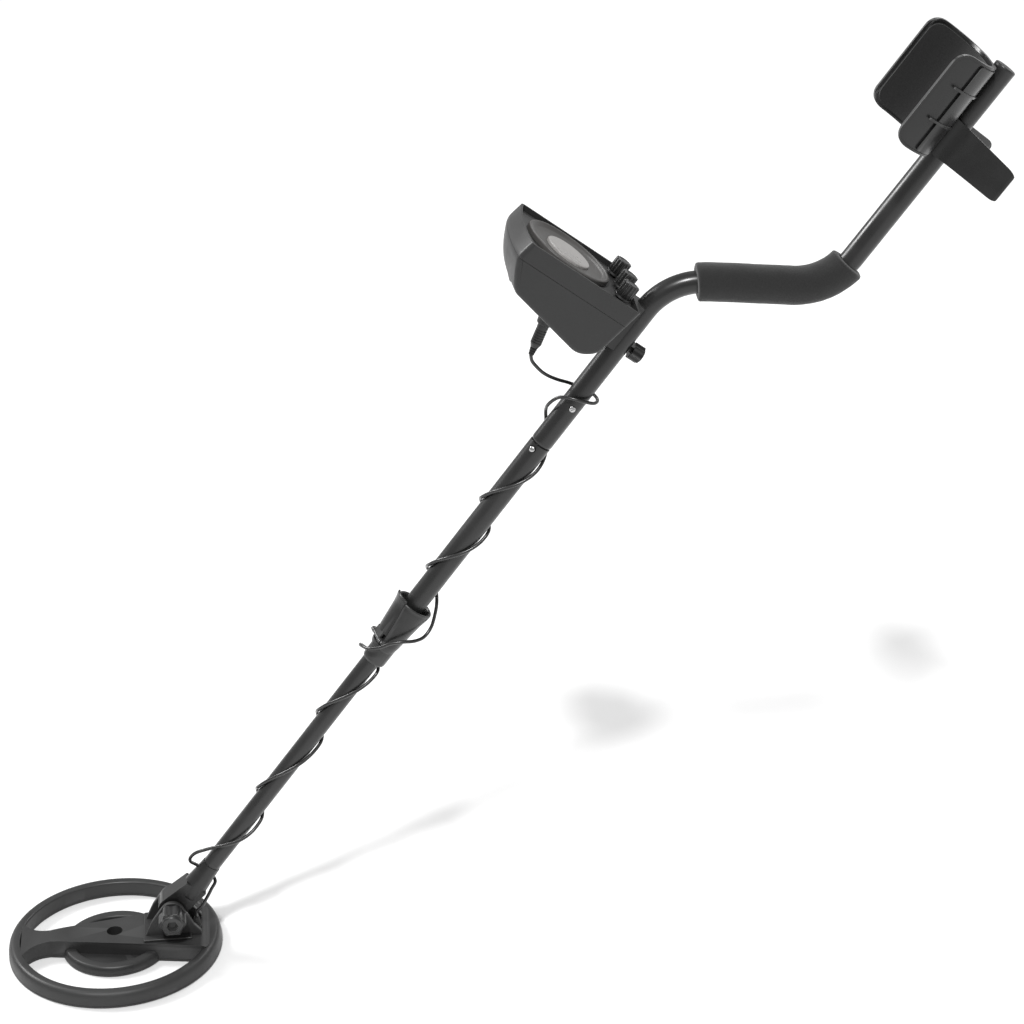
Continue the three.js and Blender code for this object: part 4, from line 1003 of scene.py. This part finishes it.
def thumbscrew():
    head = soften(pushed("z", lobed(9, 1.5, 8), -24.6, -13.2), 0.5, 3, 55)
    rim = turned("z", [(-25.5, 0), (-25.5, 6.6), (-25.2, 7.3), (-24.3, 7.6), (-24.3, 0)])
    screw = join(head, rim, rod("z", -14, 17.5, 3))
    screw.data.transform(Matrix.Translation((THUMBSCREW_X, 0, 0)))
    piece("saddle_thumbscrew", screw, SHAFT, SOFT_BLACK, "mount_screw", ["box_thumbscrew"])


def cable_plug():
    placed = SHAFT @ leaning()
    profile = [(-38, 0), (-38, 3.4), (-37.4, 4), (-34.4, 5.1)]
    for i in range(6):
        x = -33.6 + 2.6 * i
        profile += [(x, 5.55), (x + 1.5, 5.55), (x + 1.8, 5.15), (x + 2.3, 5.15)]
    profile += [(-17.4, 5.6), (COLLAR_END - 0.5, 5.6), (COLLAR_END - GAP, 5.3), (COLLAR_END - GAP, 4.2)]
    profile += [(2, 4.2), (2, 0)]
    plug = turned("x", profile)
    plug = cut(plug, rod("x", -10, 3, 2.6))
    piece("cable_plug_body", plug, placed, SOFT_BLACK, "root", ["cable_plug"])
    profile = [(PLUG_END, CABLE_R + 0.1), (PLUG_END, 2.3), (PLUG_END + 0.3, 2.6)]
    for i in range(3):
        x = PLUG_END + 0.8 + 2.3 * i
        r = 2.75 + 0.32 * i
        profile += [(x, r), (x + 1.2, r + 0.1), (x + 1.4, r - 0.35), (x + 1.9, r - 0.3)]
    profile += [(PLUG_FRONT - GAP, 3.7), (PLUG_FRONT - GAP, CABLE_R + 0.1)]
    piece("cable_plug_boot", turned("x", profile), placed, RUBBER, "root", ["plug_boot"])


# ---------- search coil ----------
def bar_half(x):
    """Half the width of the coil's bar at a distance from the coil's centre."""
    return 8.5 + 0.185 * (x + 76)


def curve_2d(start, control, end, steps=10):
    a, b, c = Vector(start), Vector(control), Vector(end)
    shares = [i / steps for i in range(steps + 1)]
    return [a * (1 - t) ** 2 + b * 2 * t * (1 - t) + c * t**2 for t in shares]


def bar_outline():
    """The bar from ring to ring: it flares into the ring at the front and widens evenly to the back."""
    reach = COIL_INNER_R + 5
    end_x = -math.sqrt(reach**2 - 34**2)
    outline = curve_2d((end_x, -34), (-87, -11), (-66, -bar_half(-66)))
    end_turn = math.asin(bar_half(90) / reach)
    turns = [end_turn * (i / 10 - 1) for i in range(21)]
    outline += [Vector((reach * math.cos(t), reach * math.sin(t))) for t in turns]
    return outline + curve_2d((-66, bar_half(-66)), (-87, 11), (end_x, 34))


def coil_shell():
    low = BASE_TOP + GAP
    outer = turned("z", [
        (low, COIL_INNER_R), (low, COIL_R), (9, 108.2), (12, 107.6), (14, 106.7), (15.4, 105.6),
        (16.4, 104.2), (RING_TOP, 102.4), (RING_TOP, 98.8), (16.7, 97.3), (15.9, 96.3), (15, COIL_INNER_R),
    ], segments=160)
    inner = turned("z", [
        (low, 0), (low, HUB_R), (6.4, 53.5), (8.8, 52.7), (10.2, 51.7), (HUB_TOP, 50.2), (HUB_TOP, 44),
        (10.6, 42.6), (9.6, 41.6), (8, 41.1), (6, 41), (6, 0),
    ], segments=128)
    flush = RING_TOP - 0.1
    corners = [(-104, low), (104, low), (104, flush), (96, flush)]
    corners += [(90, BAR_TOP), (-58, BAR_TOP), (-90, flush), (-104, flush)]
    side = rounded(corners, [0.5, 0.5, 1, 2, 3, 8, 8, 1])
    bar = common(pushed("z", bar_outline(), low, BAR_TOP + 2), pushed("y", side, -60, 60))
    bar = soften(bar, 1.2, 3, 50)
    body = cut(join(outer, inner, bar), rod("z", HUB_TOP - 4, 40, 8, segments=64))
    body = soften(body, 0.5, 2, 60)
    piece("coil_top_shell", body, COIL, MOULDING, "coil", ["coil_shell"], sharp=38)


def coil_base():
    outer = turned("z", [
        (0, COIL_INNER_R), (0, 107), (0.4, 107.9), (1.2, 108.5), (2, COIL_R), (BASE_TOP, COIL_R - 0.3),
        (BASE_TOP, COIL_INNER_R),
    ], segments=160)
    hub = turned("z", [
        (0, 0), (0, HUB_R - 1.2), (0.5, HUB_R - 0.4), (1.4, HUB_R), (BASE_TOP, HUB_R), (BASE_TOP, 0),
    ], segments=128)
    bar = pushed("z", bar_outline(), 0, BASE_TOP)
    base = soften(join(outer, hub, bar), 0.35, 2, 50)
    piece("coil_bottom_cover", base, COIL, MOULDING, "coil", ["coil_base"], sharp=38)


def hinge_bracket():
    base = BAR_TOP + GAP
    ear = [(31, base), (40, 39), (HINGE_X - 11.2, HINGE_Z + 6)]
    ear += [
        (HINGE_X + 12.5 * math.cos(a), HINGE_Z + 12.5 * math.sin(a))
        for a in (2.6 - (2.6 - 0.35) * i / 20 for i in range(21))
    ]
    ear += [(82, 33), (89, 24), (89, base)]
    ears = [soften(pushed("y", ear, a, b), 0.9, 3, 40) for a, b in ((-EAR_OUT, -EAR_IN), (EAR_IN, EAR_OUT))]
    plate = soften(block(30, 79, -26, 26, base, base + 2.4), 0.8, 3)
    body = cut(join(ears[0], ears[1], plate), rod("y", -30, 30, BOLT_R + GAP, (HINGE_X, 0, HINGE_Z)))
    piece("coil_hinge_bracket", body, COIL, MOULDING, "coil", ["hinge_bracket"], sharp=40)


def hinge_bolt():
    bolt = turned("y", [
        (-38, 0), (-38, BOLT_R - 0.4), (-37.6, BOLT_R), (EAR_OUT + GAP, BOLT_R), (EAR_OUT + GAP, 7.8),
        (EAR_OUT + 0.8, 8), (22.6, 8), (23.6, 7.5), (24.4, 6.4), (24.6, 5), (24.1, 4.4), (24.1, 0),
    ], (HINGE_X, 0, HINGE_Z))
    piece("hinge_cross_bolt", bolt, COIL, SOFT_BLACK, "coil", ["hinge_bolt"])


def hinge_knob():
    grip = soften(pushed("y", lobed(14, 2.6, 6, 24), -38.6, -21), 0.9, 4, 55)
    hub = rod("y", -24, -EAR_OUT - GAP, 9.5, segments=64)
    face = turned("y", [
        (-41.5, 0), (-41.5, 9.3), (-41.2, 10), (-40.4, 10.7), (-39.4, 11), (-38, 11), (-38, 0),
    ], segments=64)
    knob = join(grip, hub, face)
    knob = cut(knob, rod("y", -50, 0, BOLT_R + GAP), rod("y", -50, -38.5, 6, segments=6))
    knob = soften(knob, 0.35, 2, 55)
    knob.data.transform(Matrix.Translation((HINGE_X, 0, HINGE_Z)))
    piece("hinge_tilt_knob", knob, COIL, SOFT_BLACK, "tilt_knob", ["hinge_knob"])


def coil_gland():
    top = 34
    profile = [(BAR_TOP + GAP, CABLE_R + 0.1), (BAR_TOP + GAP, 4.6), (BAR_TOP + 0.8, 4.9), (23, 4.9)]
    profile.append((23.6, 4.3))
    for i in range(4):
        z = 24.4 + 2.3 * i
        r = 4.2 - 0.28 * i
        profile += [(z, r), (z + 1.2, r - 0.12), (z + 1.4, r - 0.5), (z + 1.9, r - 0.5)]
    profile += [(top, 2.7), (top, CABLE_R + 0.1)]
    gland = turned("z", profile, (84.5, -6, 0))
    piece("coil_cable_gland", gland, COIL, RUBBER, "coil", ["coil_gland"])


# ---------- studio ----------
def plain(name, level, roughness):
    material = bpy.data.materials.new(name)
    material.use_nodes = True
    shader = material.node_tree.nodes["Principled BSDF"]
    shader.inputs["Base Color"].default_value = (level, level, level, 1)
    shader.inputs["Roughness"].default_value = roughness
    return material


def lamp(name, kind, place, along):
    """A light at a place, shining along a direction."""
    data = bpy.data.lights.new(name, kind)
    obj = bpy.data.objects.new(name, data)
    obj.location = place
    obj.rotation_mode = "QUATERNION"
    obj.rotation_quaternion = Vector(along).to_track_quat("-Z", "Y")
    bpy.context.scene.collection.objects.link(obj)
    return data


# Names, places, sizes and powers of the two soft boxes, and the point that both look at.
SOFT_BOXES = (("left", (-2.4, 1.3, 1.5), 0.9, 55), ("behind", (0.9, 2.2, 1.7), 0.8, 18))
SOFT_BOXES_LOOK_AT = Vector((-0.2, 0, -0.2))


def studio():
    floor_z = UNDERSIDE.z - 0.0004
    bm = bmesh.new()
    corners = [bm.verts.new((x, y, floor_z)) for x, y in ((-14, -8), (14, -8), (14, 20), (-14, 20))]
    bm.faces.new(corners)
    mesh = bpy.data.meshes.new("studio_floor")
    bm.to_mesh(mesh)
    bm.free()
    floor = bpy.data.objects.new("studio_floor", mesh)
    bpy.context.scene.collection.objects.link(floor)
    floor.data.materials.append(plain("pale_paper", 0.87, 0.85))

    world = bpy.data.worlds.new("soft_white")
    world.use_nodes = True
    world.node_tree.nodes["Background"].inputs["Color"].default_value = (1, 1, 1, 1)
    world.node_tree.nodes["Background"].inputs["Strength"].default_value = 0.42
    bpy.context.scene.world = world

    sun = lamp("sun", "SUN", (0, 0, 0), (0.11, 0.59, -1))
    sun.energy = 2.2
    sun.angle = math.radians(6)
    for name, place, size, power in SOFT_BOXES:
        box = lamp(name, "AREA", place, SOFT_BOXES_LOOK_AT - Vector(place))
        box.size = size
        box.energy = power
    bpy.context.scene.view_settings.view_transform = "Standard"


# ---------- everything ----------
camera()
studio()
cable_plug()
cables()
for make in (
    upper_tube, middle_tube, snap_button, snap_spring, tube_screw, lower_stem, stem_yoke, hinge_washers,
    clamp_collar, clamp_lever, foam_grip, tube_end_cap, arm_cuff, cuff_pad, cuff_stand, cuff_bolt,
    box_shell, box_bezel, battery_door, meter, meter_needle, control_knobs, box_saddle, thumbscrew,
    coil_shell, coil_base, hinge_bracket, hinge_bolt, hinge_knob, coil_gland,
):
    make()
repaint_carried_over()
